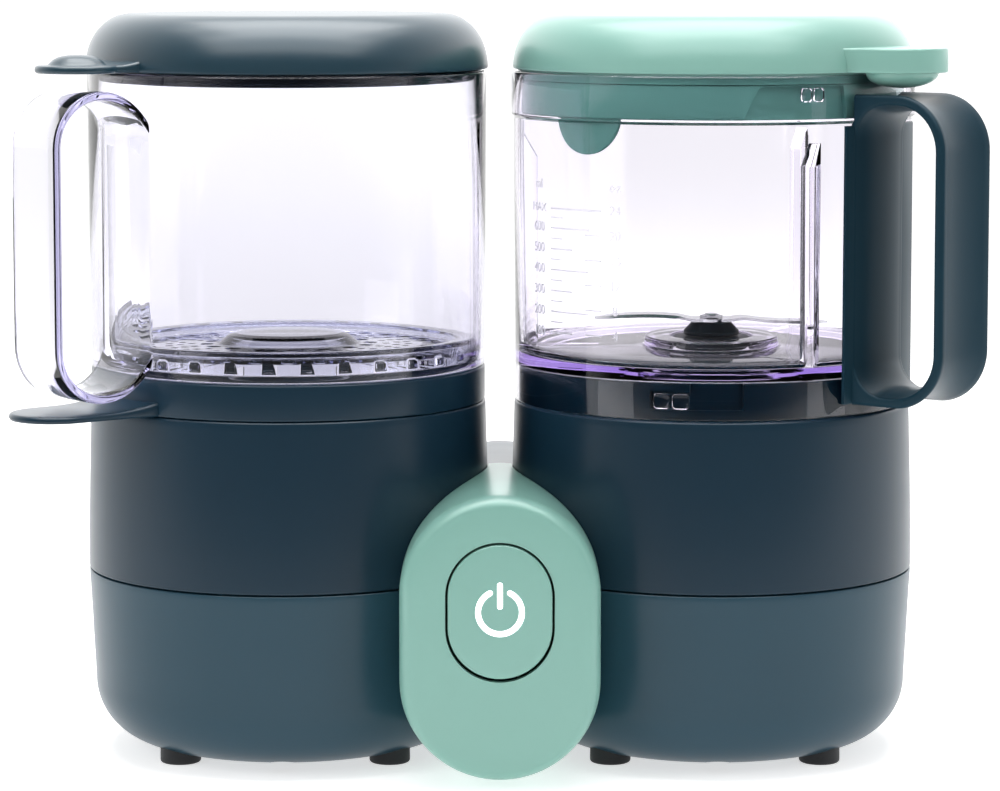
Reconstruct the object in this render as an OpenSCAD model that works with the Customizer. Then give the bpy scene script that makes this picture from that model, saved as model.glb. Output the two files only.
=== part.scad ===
// Two-column baby food maker: a steam cooker on the left column, a blender on
// the right column and a one-button control pod between them.
// Frame: origin on the worktop under the middle of the machine, +Z up,
// -Y towards the user, +X towards the blender. Millimetres.

/* [Columns] */
// Distance between the two column axes
column_spacing = 148; // [147:0.5:152]
// Height of the column tops above the worktop
column_top = 122; // [122:1:122]
// Wall thickness of the housings
wall = 2.5; // [2:0.1:3]
// Height of the joint between lower and upper housing
seam_z = 63.9; // [60:0.1:64]
// Width of the shadow gap at that joint
seam_gap = 0.6; // [0.4:0.1:1]

/* [Pod and button] */
// Half width of the control pod
pod_a = 33.5; // [31:0.5:35]
// Distance of the pod face and of the rear face from the middle
pod_y = 80; // [78:0.5:82]
// Half width of the start button
button_a = 17.35; // [15:0.05:18.5]
// Button travel
button_travel = 1.5; // [1:0.1:1.5]

/* [Handles and tabs] */
// Angle of handles and lid tabs, turned from the outer side to the front
handle_angle = 39; // [34:1:42]
// Outer reach of both handles from the column axis
handle_reach = 103.7; // [100:0.1:106]
// Width of the clear handle strap
bowl_handle_w = 27; // [22:1:30]
// Width of the dark handle strap
jug_handle_w = 30; // [24:1:32]
// Reach of the tray tab centre from the column axis
tray_tab_q = 95.9; // [90:0.1:98]

/* [Steam cooker] */
// Outer radius of the steam bowl at its rim
bowl_r = 69.3; // [69:0.1:69.6]
// Number of openings in the outer ring of the grid
grid_outer_n = 32; // [24:2:36]
// Number of openings round the grid hub
grid_inner_n = 16; // [10:2:18]

/* [Blender] */
// Reach of each blade
blade_r = 41; // [30:1:50]
// Number of bayonet lugs
lug_n = 3; // [3:1:3]

/* [Hidden] */
$fn = 96;
c = column_spacing / 2;
dark = [0.13, 0.22, 0.27];
mint = [0.57, 0.74, 0.68];
clear = [0.9, 0.92, 0.98, 0.35];
z0 = 2.6;             // underside of the lower housing
fr = 23; fz = 22;     // bottom rounding of the columns
rear_y = pod_y + 0.35;
col_side = [[z0 + fz, 68.1], [31, 68.4], [36.5, 68.7], [47, 69.2], [57.5, 69.75], [63.9, 70.1],
            [75, 70.05], [90, 69.8], [105, 69.4], [122, 68.9]];
col_tab = concat([for (i = [0:9]) let(a = 90 - 9 * i) [z0 + fz - fz * sin(a), 68.1 - fr + fr * cos(a)]], col_side);
bridge_top = 96.8;
pod_lo = 2.8; pod_hi = 98.9;
icon_z = 60.4;

function earc(cx, cy, rx, ry, a0, a1, n) =
  [for (i = [0:n]) let(a = a0 + (a1 - a0) * i / n) [cx + rx * cos(a), cy + ry * sin(a)]];
// Column radius at height z, grown by d, as the points of a closed half section
function col_pts(d, zl, zh) = concat([[0, zl], [lookup(zl, col_tab) + d, zl]],
  [for (p = col_tab) if (p[0] > zl + 0.05 && p[0] < zh - 0.05) [p[1] + d, p[0]]],
  [[lookup(zh, col_tab) + d, zh], [0, zh]]);
// Half section of a capsule that runs along Y, with a rounded outer end
function cap_pts(a, h0, h1, rx, ry) = concat([[0, h0], [a, h0]], earc(a - rx, h1 - ry, rx, ry, 0, 90, 6), [[0, h1]]);

module lathe(p) rotate_extrude() polygon(p);
module ring(r1, r2, z1, z2) translate([0, 0, z1]) difference() {
  cylinder(r = r2, h = z2 - z1);
  translate([0, 0, -1]) cylinder(r = r1, h = z2 - z1 + 2);
}
module rod(r, z1, z2) translate([0, 0, z1]) cylinder(r = r, h = z2 - z1);
module sector(r1, r2, z1, z2, a1, a2)
  rotate([0, 0, a1]) rotate_extrude(angle = a2 - a1) translate([r1, z1]) square([r2 - r1, z2 - z1]);
module left_side() translate([-c, 0, 0]) children();
module right_side() translate([c, 0, 0]) children();
// Local +X is the handle direction
module left_grip() left_side() rotate([0, 0, 180 + handle_angle]) children();
module right_grip() right_side() rotate([0, 0, -handle_angle]) children();
// dir 1 runs to the rear (+Y), dir -1 to the front
module capsule(p, zl, zh, dir) {
  for (z = [zl, zh]) translate([0, 0, z]) rotate([-90 * dir, 0, 0]) lathe(p);
  translate([0, 0, zl]) linear_extrude(zh - zl)
    polygon(concat([for (q = p) [q[0], dir * q[1]]], [for (i = [len(p) - 2:-1:1]) [-p[i][0], dir * p[i][1]]]));
}
// Half capsule behind the middle, grown by d; its front end lies at y = y0
module rear_capsule(d, y0) capsule(cap_pts(pod_a + d, y0, rear_y + d, 5 + d, 7 + d),
  z0 + pod_a, bridge_top - pod_a, 1);
module slab(zl, zh) translate([-200, -200, zl]) cube([400, 400, zh - zl]);
module column(s, d, zl, zh) translate([s * c, 0, 0]) lathe(col_pts(d, zl, zh));
module bridge(d, y0, zl, zh) intersection() { rear_capsule(d, y0); slab(zl, min(zh, bridge_top + d)); }
// Window for the wires, through the column wall into the bridge
module wire_window(s, z) translate([s * c, 0, z]) rotate([0, 0, s > 0 ? 148 : 32]) translate([60, -9, 0]) cube([14, 18, 16]);
module screw_spots() {
  screws_at(-1) children();
  screws_at(1) children();
}
module screws_at(s) translate([s * c, 0, 0]) for (a = [-90, 0, 90]) rotate([0, 0, a + (s > 0 ? 0 : 180)]) translate([50, 0, 0]) children();
module feet_at(s) for (x = [-36, 36], y = [-34, 34]) translate([s * c + x, y, 0]) children();
module foot_spots() { feet_at(-1) children(); feet_at(1) children(); }

// ---------- base ----------
module lower_column(s) color(dark) difference() {
  union() {
    difference() {
      column(s, 0, z0, seam_z - seam_gap / 2);
      column(s, -wall, z0 + 3.4, 55);
      column(s, -wall - 1.9, 54.9, seam_z);
    }
    difference() {
      column(s, -wall - 0.4, seam_z - seam_gap / 2 - 0.1, seam_z + 3.5);
      column(s, -wall - 2.1, seam_z - 2, seam_z + 4);
    }
    screws_at(s) rod(5, z0 + 3.2, seam_z - seam_gap / 2);
    intersection() { feet_at(s) rod(9.5, z0, 8.5); column(s, 0, z0, 30); }
    if (s > 0) right_side() for (a = [45:90:315]) rotate([0, 0, a]) translate([38, 0, 0]) rod(6, z0 + 1, 14);
    else left_side() for (x = [-30, 30], y = [-22, 22]) translate([x, y, 0]) rod(3, z0 + 1, 16);
  }
  screws_at(s) { rod(4, z0 - 1, 52); rod(1.8, 51, 70); }
  feet_at(s) rod(7.1, z0 - 1, 6);
  if (s > 0) right_side() for (a = [0:30:330]) rotate([0, 0, a]) translate([14, -1.5, z0 - 1]) cube([14, 3, 6]);
  wire_window(s, 30);
}
module lower_housing_left() lower_column(-1);
module lower_housing_right() lower_column(1);
module lower_housing_bridge() color(dark) difference() {
  bridge(0, 0, z0, seam_z - seam_gap / 2);
  bridge(-wall, wall, z0 + 3.4, seam_z);
  for (s = [-1, 1]) column(s, 0, z0 - 1, seam_z + 5);
  translate([0, rear_y - 12, 26]) rotate([-90, 0, 0]) cylinder(r = 6.5, h = 20);
}
module upper_column(s) difference() {
  union() {
    difference() {
      column(s, 0, seam_z + seam_gap / 2, column_top);
      column(s, -wall, seam_z - 1, 117);
      translate([s * c, 0, 0]) rod(s > 0 ? 62 : 65.2, 116, 120);
      translate([s * c, 0, 0]) rod(s > 0 ? 66.4 : 65.2, s > 0 ? column_top - wall : 106, column_top + 1);
    }
    if (s < 0) left_side() { ring(65.2, 67.2, 106, 117.1); ring(60, 67.2, 103, 106); }
    screws_at(s) { rod(4.5, seam_z + seam_gap / 2, 71); translate([3, -1.5, seam_z + 3.8]) cube([15.6, 3, 71 - seam_z - 3.8]); }
  }
  screws_at(s) rod(1.5, 60, 70);
  wire_window(s, 74);
}
module upper_housing_left() color(dark) upper_column(-1);
module upper_housing_right() color(dark) upper_column(1);
module upper_housing_bridge() color(dark) difference() {
  bridge(0, 0, seam_z + seam_gap / 2, bridge_top);
  bridge(-wall, wall, seam_z - 1, bridge_top);
  for (s = [-1, 1]) column(s, 0, seam_z - 5, column_top);
}
module motor_deck() color(dark) right_side() {
  ring(10.5, 66.4, column_top - wall, column_top);
  ring(40, 42, column_top - 0.1, column_top + 2.5);
}
module feet() color([0.05, 0.05, 0.06]) foot_spots()
  lathe(concat([[0, 0], [6.4, 0]], earc(6.3, 0.7, 0.7, 0.7, -60, 0, 3), [[7, 5.9], [0, 5.9]]));
module housing_screws() color([0.6, 0.6, 0.62]) screw_spots() { rod(3.4, 49.5, 52); rod(1.5, 51.9, 69); }
module cord_bush() color([0.05, 0.05, 0.06]) translate([0, 0, 26]) rotate([-90, 0, 0]) difference() {
  union() { rod(6.5, rear_y - 10, rear_y - 0.6); rod(9, rear_y - 10, rear_y - wall); }
  rod(3.6, rear_y - 11, rear_y + 1);
}

// ---------- steam generator ----------
module water_reservoir() color([0.75, 0.76, 0.78]) left_side() lathe([[0, 76], [57, 76], [59, 77], [59.5, 78.5],
  [59.5, 108], [64.8, 108], [64.8, 109.2], [58.3, 109.2], [58.3, 79], [57.6, 77.8], [56.5, 77.2], [0, 77.2]]);
module reservoir_seal() color([0.7, 0.7, 0.7]) left_side() ring(60.2, 64.8, 106, 108);
module heater_plate() color([0.7, 0.7, 0.72]) left_side() rod(50, 74, 76);
module heater_element() color([0.5, 0.5, 0.52]) left_side() difference() {
  union() {
    rotate_extrude() translate([38, 70.5]) circle(r = 3.5, $fn = 32);
    for (a = [-6, 6]) rotate([0, 0, a + 90]) translate([38, 0, 0]) rod(2, 58, 70);
  }
  sector(30, 46, 60, 80, 86, 94);
}
module thermostat() color([0.85, 0.85, 0.82]) left_side() { rod(9, 66, 74); rod(5, 62, 66.1); }

// ---------- electronics ----------
module power_board() color([0.1, 0.35, 0.2]) left_side() {
  translate([-35, -28, 16]) cube([70, 56, 1.6]);
  translate([-22, -18, 17.5]) cube([22, 18, 18]);
  translate([8, -20, 17.5]) cube([18, 12, 14]);
  translate([-18, 8, 0]) rod(6, 17.5, 36);
  translate([14, 10, 0]) rod(5, 17.5, 32);
}
module control_board() color([0.1, 0.35, 0.2]) translate([-22, -55, 34]) cube([44, 1.6, 50]);
module button_switch() color([0.1, 0.1, 0.1]) {
  translate([-3, -58.5, icon_z - 3]) cube([6, 3.5, 6]);
  translate([0, -58.4, icon_z]) rotate([90, 0, 0]) cylinder(r = 1.7, h = 1.8);
}
module reed_switch() color([0.1, 0.1, 0.1]) right_side() rotate([0, 0, 90]) translate([50, -8, column_top - wall - 5]) cube([5, 16, 5]);
module interlock_magnet() color([0.45, 0.45, 0.47]) right_side() rotate([0, 0, 90]) translate([52.5, 0, 0]) rod(4, 129, 132.3);

// ---------- motor ----------
module motor_shaft() color([0.7, 0.7, 0.72]) right_side() rod(3, 20, 127);
module armature() color([0.6, 0.35, 0.2]) right_side() lathe([[3, 46], [15, 46], [16, 48], [16, 51], [18.9, 51],
  [18.9, 83], [16, 83], [16, 86], [15, 88], [3, 88]]);
module commutator() color([0.72, 0.45, 0.25]) right_side() ring(3, 10, 34, 45);
module cooling_fan() color([0.2, 0.2, 0.2]) right_side() difference() {
  union() { rod(7, 92, 101); rod(30, 92, 93.5);
    for (a = [0:30:330]) rotate([0, 0, a]) translate([6, -0.8, 93.4]) cube([23.5, 1.6, 6]); }
  rod(3, 90, 102);
}
module drive_shape(g) { circle(r = 6.5 + g); for (a = [0:60:300]) rotate(a) translate([0, -1.6 - g]) square([9.8 + g, 3.2 + 2 * g]); }
module drive_coupling() color([0.1, 0.1, 0.1]) right_side() difference() {
  translate([0, 0, 122.4]) linear_extrude(6.2) drive_shape(0);
  rod(3, 122, 127);
}
module motor_stator() color([0.55, 0.55, 0.57]) right_side() difference() {
  intersection() { rod(37, 51, 83); translate([-32.5, -28, 50]) cube([65, 56, 34]); }
  rod(19.5, 50, 84);
}
module field_coils() color([0.72, 0.4, 0.2]) right_side() { ring(21, 29, 83, 89); ring(21, 29, 45.5, 51); }
module motor_bracket_lower() color([0.6, 0.6, 0.62]) right_side() difference() {
  union() { rod(44, 23, 26); rod(9, 23, 33); for (x = [-35.5, 35.5]) translate([x, 0, 0]) rod(3, 25, 103); }
  rod(6, 22, 34);
  for (a = [0:90:270]) rotate([0, 0, a + 45]) translate([22, 0, 0]) rod(8, 22, 27);
}
module motor_bracket_upper() color([0.6, 0.6, 0.62]) right_side() difference() {
  union() { translate([-40, -10, 103]) cube([80, 20, 3]); rod(9, 103, 112); }
  rod(6, 102, 113);
}
module motor_bearings() color([0.7, 0.55, 0.3]) right_side() { ring(3.03, 6, 25, 33); ring(3.03, 6, 104, 112); }
module brush_holders() color([0.15, 0.15, 0.16]) right_side() for (s = [-1, 1]) translate([-4, s > 0 ? 10.4 : -28.4, 35.5]) cube([8, 18, 8]);
module motor_mounts() color([0.05, 0.05, 0.06]) right_side() for (a = [45:90:315]) rotate([0, 0, a]) translate([38, 0, 0]) rod(6, 14, 23);
module deck_seal() color([0.05, 0.05, 0.06]) right_side() ring(3.06, 10.5, column_top - wall, column_top);

// ---------- control pod and button ----------
module stadium(a, h, y1, y2) translate([0, y1, icon_z]) rotate([-90, 0, 0]) linear_extrude(y2 - y1) {
  for (s = [-1, 1]) translate([0, s * h]) circle(r = a);
  translate([-a, -h]) square([2 * a, 2 * h]);
}
module column_clearance(d) for (s = [-1, 1]) translate([s * c, 0, 0]) lathe(col_pts(d, z0 - 1, 122));
module control_pod() color(mint) difference() {
  union() {
    difference() {
      capsule(cap_pts(pod_a, 0.3, pod_y, 4, 6.5), pod_lo + pod_a, pod_hi - pod_a, -1);
      capsule(cap_pts(pod_a - wall, -1, pod_y - wall, 2, 4), pod_lo + pod_a, pod_hi - pod_a, -1);
    }
    for (x = [-19, 19], z = [37, 81]) translate([x, -55, z]) rotate([90, 0, 0]) cylinder(r = 2.5, h = pod_y - 56);
  }
  column_clearance(0.4);
  stadium(button_a + 0.5, 5.1, -pod_y - 1, -pod_y + 6);
}
module start_button() color(mint) difference() {
  union() {
    difference() { stadium(button_a, 5.1, -pod_y - 0.3, -pod_y + 5.5); stadium(button_a - 2, 5.1, -pod_y + 2, -pod_y + 6); }
    translate([0, -pod_y + 1.8, icon_z]) rotate([-90, 0, 0]) cylinder(r = 5, h = pod_y - 1.8 - 61.9);
  }
  icon_shape(-pod_y - 1, -pod_y + 0.7, 0);
}
// Plain ring with a short bar, the usual sign for on
module icon_shape(y1, y2, g) translate([0, y1, icon_z]) rotate([-90, 0, 0]) linear_extrude(y2 - y1) {
  difference() { circle(r = 8.2); circle(r = 6.3); translate([-3, -12]) square([6, 10]); }
  translate([-0.95, -10]) square([1.9, 9]);
}
module button_icon() color([1, 1, 1]) icon_shape(-pod_y - 0.35, -pod_y + 0.7, 0);

// ---------- steam cooker ----------
module tongue(r, q, w, z1, z2) translate([0, 0, z1]) {
  translate([q, 0, 0]) cylinder(r = r, h = z2 - z1);
  linear_extrude(z2 - z1) polygon([[60, -w], [q, -r], [q, r], [60, w]]);
}
module juice_tray() color(dark) left_side() lathe([[68.7, 122.3], [68.7, 133.6], [68.4, 134.3], [67.9, 134.5], [66.4, 134.5], [65.8, 134.1],
  [65.8, 124.5], [62.8, 123.5], [62.8, 113.6], [62.2, 113], [21.2, 113], [21.2, 130.5], [20.7, 131], [19.6, 131],
  [19.2, 130.6], [19.2, 110.5], [64.2, 110.5], [64.6, 110.9], [64.6, 122.3]]);
module tray_tab() color(dark) left_grip() difference() {
  union() { tongue(15.5, tray_tab_q, 15.9, 122.3, 124.7); tongue(12, 72, 15.9, 122.3, 126.6); }
  rod(68.7, 120, 130);
}
module steam_bowl() color(clear) left_side() lathe([[68.8, 134.8], [bowl_r, 236.2], [bowl_r - 0.5, 237], [67.6, 237],
  [67.1, 236.5], [66.0, 141.5], [66.0, 137.2], [63.6, 137.2], [63.6, 134.8], [64.2, 134.8], [64.2, 131.2], [65.3, 131.2], [65.3, 134.8]]);
module strap(t, w, zl, zh, q, R) rotate([90, 0, 0]) translate([0, 0, -w / 2]) linear_extrude(w) difference() {
  union() { for (z = [zl + R, zh - R]) translate([q, z]) circle(r = R); translate([q - R, zl + R]) square([2 * R, zh - zl - 2 * R]); }
  for (z = [zl + R, zh - R]) translate([q, z]) circle(r = R - t);
  translate([q - R + t, zl + R]) square([2 * R - 2 * t, zh - zl - 2 * R]);
}
module bowl_handle() color(clear) left_grip() difference() {
  strap(2.9, bowl_handle_w, 127.7, 231.7, handle_reach - 18.7, 18.7);
  lathe([[0, 120], [68.75, 120], [68.8, 134.8], [bowl_r, 236.2], [0, 236.2]]);
  translate([50, -30, 146]) cube([21, 60, 68]);
}
module steam_grid() color(clear) left_side() difference() {
  lathe([[0, 143], [20.4, 143], [21, 142.4], [25.5, 138.6], [56.5, 138.6], [58.5, 140.6], [65.2, 140.6], [65.6, 140.2],
    [65.6, 137.2], [26, 137.2], [20, 141.2], [0, 141.2]]);
  for (i = [0:grid_outer_n - 1]) rotate([0, 0, i * 360 / grid_outer_n + 3]) translate([52, -3.1, 136]) cube([9.5, 6.2, 3.8]);
  for (i = [0:grid_inner_n - 1]) rotate([0, 0, i * 360 / grid_inner_n + 6]) translate([23, -3.1, 136]) cube([7, 6.2, 4]);
  for (k = [0:2], i = [0:17 + 6 * k]) rotate([0, 0, (i + k / 2) * 360 / (18 + 6 * k)]) translate([34 + 6.5 * k, 0, 136]) cylinder(r = 1.6, h = 4);
}
module dome(R, zb) lathe(concat([[0, zb]], [[R - 0.5, zb], [R, zb + 0.5]], earc(R - 18, zb + 0.7, 18, 18.5, 3, 90, 12), [[0, 257]]));
module dome_void(R, zb) lathe(concat([[0, zb - 1], [R - 4.5, zb - 1]], earc(R - 20, zb + 1, 15.5, 15.8, 0, 90, 8), [[0, 254.4]]));
module steamer_lid() color(dark) left_side() difference() {
  union() { dome(69.8, 237.4); ring(62.3, 64.5, 232.6, 238); }
  dome_void(66.8, 237.4);
}
module steamer_lid_tab() color(dark) left_grip() difference() {
  union() { tongue(14, 86, 11, 237.8, 240.1); translate([86, 0, 240]) lathe([[0, 0], [9.4, 0], [8.6, 1.6], [6.6, 2.8], [3.5, 3.5], [0, 3.7]]); }
  rod(69.8, 230, 250);
}
module steamer_lid_seal() color([0.03, 0.04, 0.05]) left_side() ring(64.5, 66.7, 233.1, 236.8);

// ---------- blender ----------
module blade_base() color(dark) right_side() difference() {
  lathe([[66.6, 122.6], [66.6, 134.3], [66.1, 134.8], [20, 134.8], [20, 137.2], [13.9, 137.2], [13.9, 141.4],
    [13.1, 142.2], [5.5, 142.2], [5.5, 131.8], [9, 131.8], [9, 132.3], [62.6, 132.3], [62.6, 122.6]]);
  for (k = [0:lug_n - 1]) {
    sector(64.6, 68, 125.9, 131.6, -111 + 360 * k / lug_n, -84 + 360 * k / lug_n);
    sector(64.4, 68, 126.4, 136, -99.4 + 360 * k / lug_n, -83.7 + 360 * k / lug_n);
  }
}
module jug_seal() color([0.8, 0.8, 0.8]) right_side() ring(14.2, 19.6, 137.2, 139.1);
module spindle_bush() color([0.7, 0.55, 0.3]) right_side() ring(3.03, 5.5, 131.8, 140.6);
module spindle_seal() color([0.05, 0.05, 0.06]) right_side() ring(3.04, 5.5, 140.6, 142.2);
module blade_spindle() color([0.7, 0.7, 0.72]) right_side() lathe([[0, 129.2], [3, 129.2], [3, 142.7], [2.5, 142.7], [2.5, 149.9], [2.2, 150.2], [0, 150.2]]);
module blade_hub() color([0.04, 0.05, 0.05]) right_side() lathe([[2.5, 142.7], [9.3, 142.7], [9.8, 143.2], [9.6, 143.9], [6.8, 147.2], [6.2, 147.6], [2.5, 147.6]]);
module blades() color([0.75, 0.76, 0.78]) right_side() difference() {
  union() {
    rod(6, 147.6, 148.7);
    intersection() {
      rotate([90, 0, 0]) translate([0, 0, -20]) linear_extrude(40) union() {
        polygon([[0, 147.6], [-6, 147.6], [-13, 149.1], [-blade_r, 148.5], [-blade_r, 149.3], [-13, 150.2], [-6, 148.7], [0, 148.7]]);
        polygon([[0, 147.6], [6, 147.6], [12, 148.5], [20, 147.2], [blade_r, 146.7], [blade_r, 147.5], [20, 148.3], [12, 149.6], [6, 148.7], [0, 148.7]]);
      }
      translate([0, 0, 140]) linear_extrude(20) for (a = [0, 180]) rotate(a)
        polygon([[0, -5], [8, -5], [20, -6.5], [32, -5.5], [blade_r, 1.5], [36, 3.2], [26, 3.4], [12, 4.5], [0, 5]]);
    }
  }
  rod(2.5, 140, 152);
}
module blade_nut() color([0.75, 0.76, 0.78]) right_side() difference() { translate([0, 0, 148.7]) cylinder(r = 4, h = 0.9, $fn = 6); rod(2.5, 148, 150.2); }
module blade_coupling() color([0.1, 0.1, 0.1]) right_side() difference() {
  rod(13, 122.8, 131.3);
  translate([0, 0, 122]) linear_extrude(6.9) drive_shape(0.3);
  rod(3, 128, 132);
}
module jug() color(clear) right_side() {
  lathe(concat([[68.9, 122.5], [68.8, 135], [69.2, 220.6], [70.1, 221.6], [70.1, 236.3], [69.6, 236.9], [68, 236.9],
    [67.4, 236.4], [67.4, 221.9], [66.8, 221.2]], earc(61.3, 144, 5, 5, 0, -90, 5),
    [[25, 139], [23.8, 140], [23.3, 142], [22.8, 142.5], [14.9, 142.5], [14.5, 142.1], [14.5, 139.3],
    [22, 139.3], [22, 135.3], [67, 135.3], [67, 122.5]]));
  for (k = [0:lug_n - 1]) rotate([0, 0, 360 * k / lug_n]) {
    sector(65, 67.3, 126.2, 131.3, -110, -99.5);
    sector(65.3, 67.7, 228.2, 232.7, -67.6, -60.4);
    rotate([0, 0, -63]) translate([60.8, -2, 138.5]) difference() {
      cube([6, 4, 77]);
      translate([0, -1, 72]) rotate([0, 40, 0]) translate([-12, 0, 0]) cube([12, 6, 12]);
    }
  }
}
module jug_handle() color(dark) right_grip() difference() {
  rotate([90, 0, 0]) translate([0, 0, -jug_handle_w / 2]) linear_extrude(jug_handle_w) difference() {
    union() { for (z = [144.7, 211.9]) translate([handle_reach - 18.7, z]) circle(r = 18.7);
      translate([handle_reach - 37.4, 144.7]) square([37.4, 67.2]); translate([66, 128]) square([19, 101]); }
    for (z = [143.4, 213.4]) translate([86.45, z]) circle(r = 13.95);
    translate([72.5, 143.4]) square([27.9, 70]);
  }
  lathe([[0, 100], [69.1, 100], [69.05, 135], [69.35, 220.4], [70.25, 221.4], [70.25, 240], [0, 240]]);
}
module lid_seal() color([0.8, 0.85, 0.83]) right_side() ring(65.3, 67.15, 234, 236.2);
module blender_lid() color(mint) right_side() difference() {
  union() {
    dome(69.5, 237.4);
    ring(62.6, 66.6, 222.3, 238);
    intersection() {
      sector(62.9, 64.5, 205, 223.5, -150, -119);
      rotate([0, 0, -134.3]) translate([50, 0, 224]) rotate([0, 90, 0]) cylinder(r = 14, h = 20);
    }
  }
  dome_void(67, 237.4);
  ring(65.1, 70, 233.8, 236.4);
  for (k = [0:lug_n - 1]) sector(65, 70, 222, 233.2, -80.6 + 360 * k / lug_n, -52 + 360 * k / lug_n);
}
module blender_lid_tab() color(mint) difference() {
  right_grip() union() {
    tongue(16, 77, 20, 237.6, 245.8);
    translate([77, 0, 0]) lathe([[0, 232.7], [5, 232.8], [9, 233.8], [11.3, 235.6], [12, 237.7], [0, 237.7]]);
  }
  right_side() { dome(69.5, 237.4); rod(70.5, 230, 237.9); }
}

lower_housing_left();
lower_housing_right();
lower_housing_bridge();
upper_housing_left();
upper_housing_right();
upper_housing_bridge();
motor_deck();
feet();
housing_screws();
cord_bush();
control_pod();
control_board();
button_switch();
power_board();
water_reservoir();
reservoir_seal();
heater_plate();
heater_element();
thermostat();
motor_stator();
field_coils();
motor_bracket_lower();
motor_bracket_upper();
motor_bearings();
brush_holders();
motor_mounts();
deck_seal();
reed_switch();
motor_shaft();
armature();
commutator();
cooling_fan();
drive_coupling();
juice_tray();
tray_tab();
steam_bowl();
bowl_handle();
steam_grid();
steamer_lid();
steamer_lid_tab();
steamer_lid_seal();
blade_base();
jug_seal();
spindle_bush();
spindle_seal();
interlock_magnet();
blade_spindle();
blade_hub();
blades();
blade_nut();
blade_coupling();
jug();
jug_handle();
lid_seal();
blender_lid();
blender_lid_tab();
start_button();
button_icon();
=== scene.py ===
import bpy, bmesh, math
from mathutils import Vector, Matrix


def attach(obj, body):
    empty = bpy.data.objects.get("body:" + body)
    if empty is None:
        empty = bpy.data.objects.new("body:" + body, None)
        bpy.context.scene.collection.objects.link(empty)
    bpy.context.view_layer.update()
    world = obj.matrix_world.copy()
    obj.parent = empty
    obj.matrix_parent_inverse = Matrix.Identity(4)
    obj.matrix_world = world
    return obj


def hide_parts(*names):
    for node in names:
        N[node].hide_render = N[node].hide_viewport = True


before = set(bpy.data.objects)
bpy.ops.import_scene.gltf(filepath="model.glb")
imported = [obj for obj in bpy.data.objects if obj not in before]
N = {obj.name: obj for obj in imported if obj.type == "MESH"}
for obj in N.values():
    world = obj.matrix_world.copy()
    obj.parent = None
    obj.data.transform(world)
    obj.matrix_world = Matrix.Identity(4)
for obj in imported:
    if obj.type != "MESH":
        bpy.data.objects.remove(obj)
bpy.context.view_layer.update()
MM = 0.001
C = 74.0                    # column axes at x = -C and +C
LEFT, RIGHT = (-C, 0.0), (C, 0.0)
GRIP = math.radians(39)     # handles point outwards, turned this far to the front
sin, cos, pi, sqrt = math.sin, math.cos, math.pi, math.sqrt

# ------------------------------------------------------------------ helpers
def arc(cx, cy, rx, ry, a0, a1, n):
    return [(cx + rx * cos(math.radians(a0 + (a1 - a0) * i / n)), cy + ry * sin(math.radians(a0 + (a1 - a0) * i / n))) for i in range(n + 1)]

def soften(pts, n=4):
    """Closed polygon with rounded corners: points are (x, y) or (x, y, radius)."""
    out = []
    k = len(pts)
    for i in range(k):
        p = pts[i]
        r = p[2] if len(p) > 2 else 0
        b = Vector(p[:2])
        if r <= 0:
            out.append((b.x, b.y)); continue
        a, c = Vector(pts[i - 1][:2]), Vector(pts[(i + 1) % k][:2])
        u, w = (a - b), (c - b)
        lu, lw = u.length, w.length
        if lu < 1e-6 or lw < 1e-6:
            out.append((b.x, b.y)); continue
        u, w = u / lu, w / lw
        d = max(-1, min(1, u.dot(w)))
        ang = math.acos(d)
        if ang > pi - 0.02:
            out.append((b.x, b.y)); continue
        t = min(r / math.tan(ang / 2), lu * 0.48, lw * 0.48)
        r = t * math.tan(ang / 2)
        centre = b + (u + w).normalized() * (r / sin(ang / 2))
        p0, p1 = b + u * t, b + w * t
        a0 = math.atan2(p0.y - centre.y, p0.x - centre.x)
        a1 = math.atan2(p1.y - centre.y, p1.x - centre.x)
        da = (a1 - a0 + pi) % (2 * pi) - pi
        for s in range(n + 1):
            q = a0 + da * s / n
            out.append((centre.x + r * cos(q), centre.y + r * sin(q)))
    return out

def pchip(xs, ys):
    n = len(xs)
    h = [xs[i + 1] - xs[i] for i in range(n - 1)]
    d = [(ys[i + 1] - ys[i]) / h[i] for i in range(n - 1)]
    m = [d[0]] + [0 if d[i - 1] * d[i] <= 0 else 2 / (1 / d[i - 1] + 1 / d[i]) for i in range(1, n - 1)] + [d[-1]]
    def f(x):
        if x <= xs[0]: return ys[0]
        if x >= xs[-1]: return ys[-1]
        i = max(j for j in range(n - 1) if xs[j] <= x)
        t = (x - xs[i]) / h[i]
        return ((1 + 2 * t) * (1 - t) ** 2 * ys[i] + t * (1 - t) ** 2 * h[i] * m[i] + t * t * (3 - 2 * t) * ys[i + 1] + t * t * (t - 1) * h[i] * m[i + 1])
    return f

def make(name, verts, faces, angle=32, weld=1e-7, recalc=True):
    """Object from points in millimetres in the row frame."""
    me = bpy.data.meshes.new(name)
    me.from_pydata([(v[0] * MM, v[1] * MM, v[2] * MM) for v in verts], [], faces)
    ob = bpy.data.objects.new(name, me)
    bpy.context.scene.collection.objects.link(ob)
    bm = bmesh.new(); bm.from_mesh(me)
    bmesh.ops.remove_doubles(bm, verts=bm.verts, dist=weld)
    if recalc: bmesh.ops.recalc_face_normals(bm, faces=bm.faces)
    bm.to_mesh(me); bm.free()
    shade(ob, angle)
    return ob

def shade(ob, angle=32):
    me = ob.data
    me.shade_smooth()
    me.set_sharp_from_angle(angle=math.radians(angle))
    return ob

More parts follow.
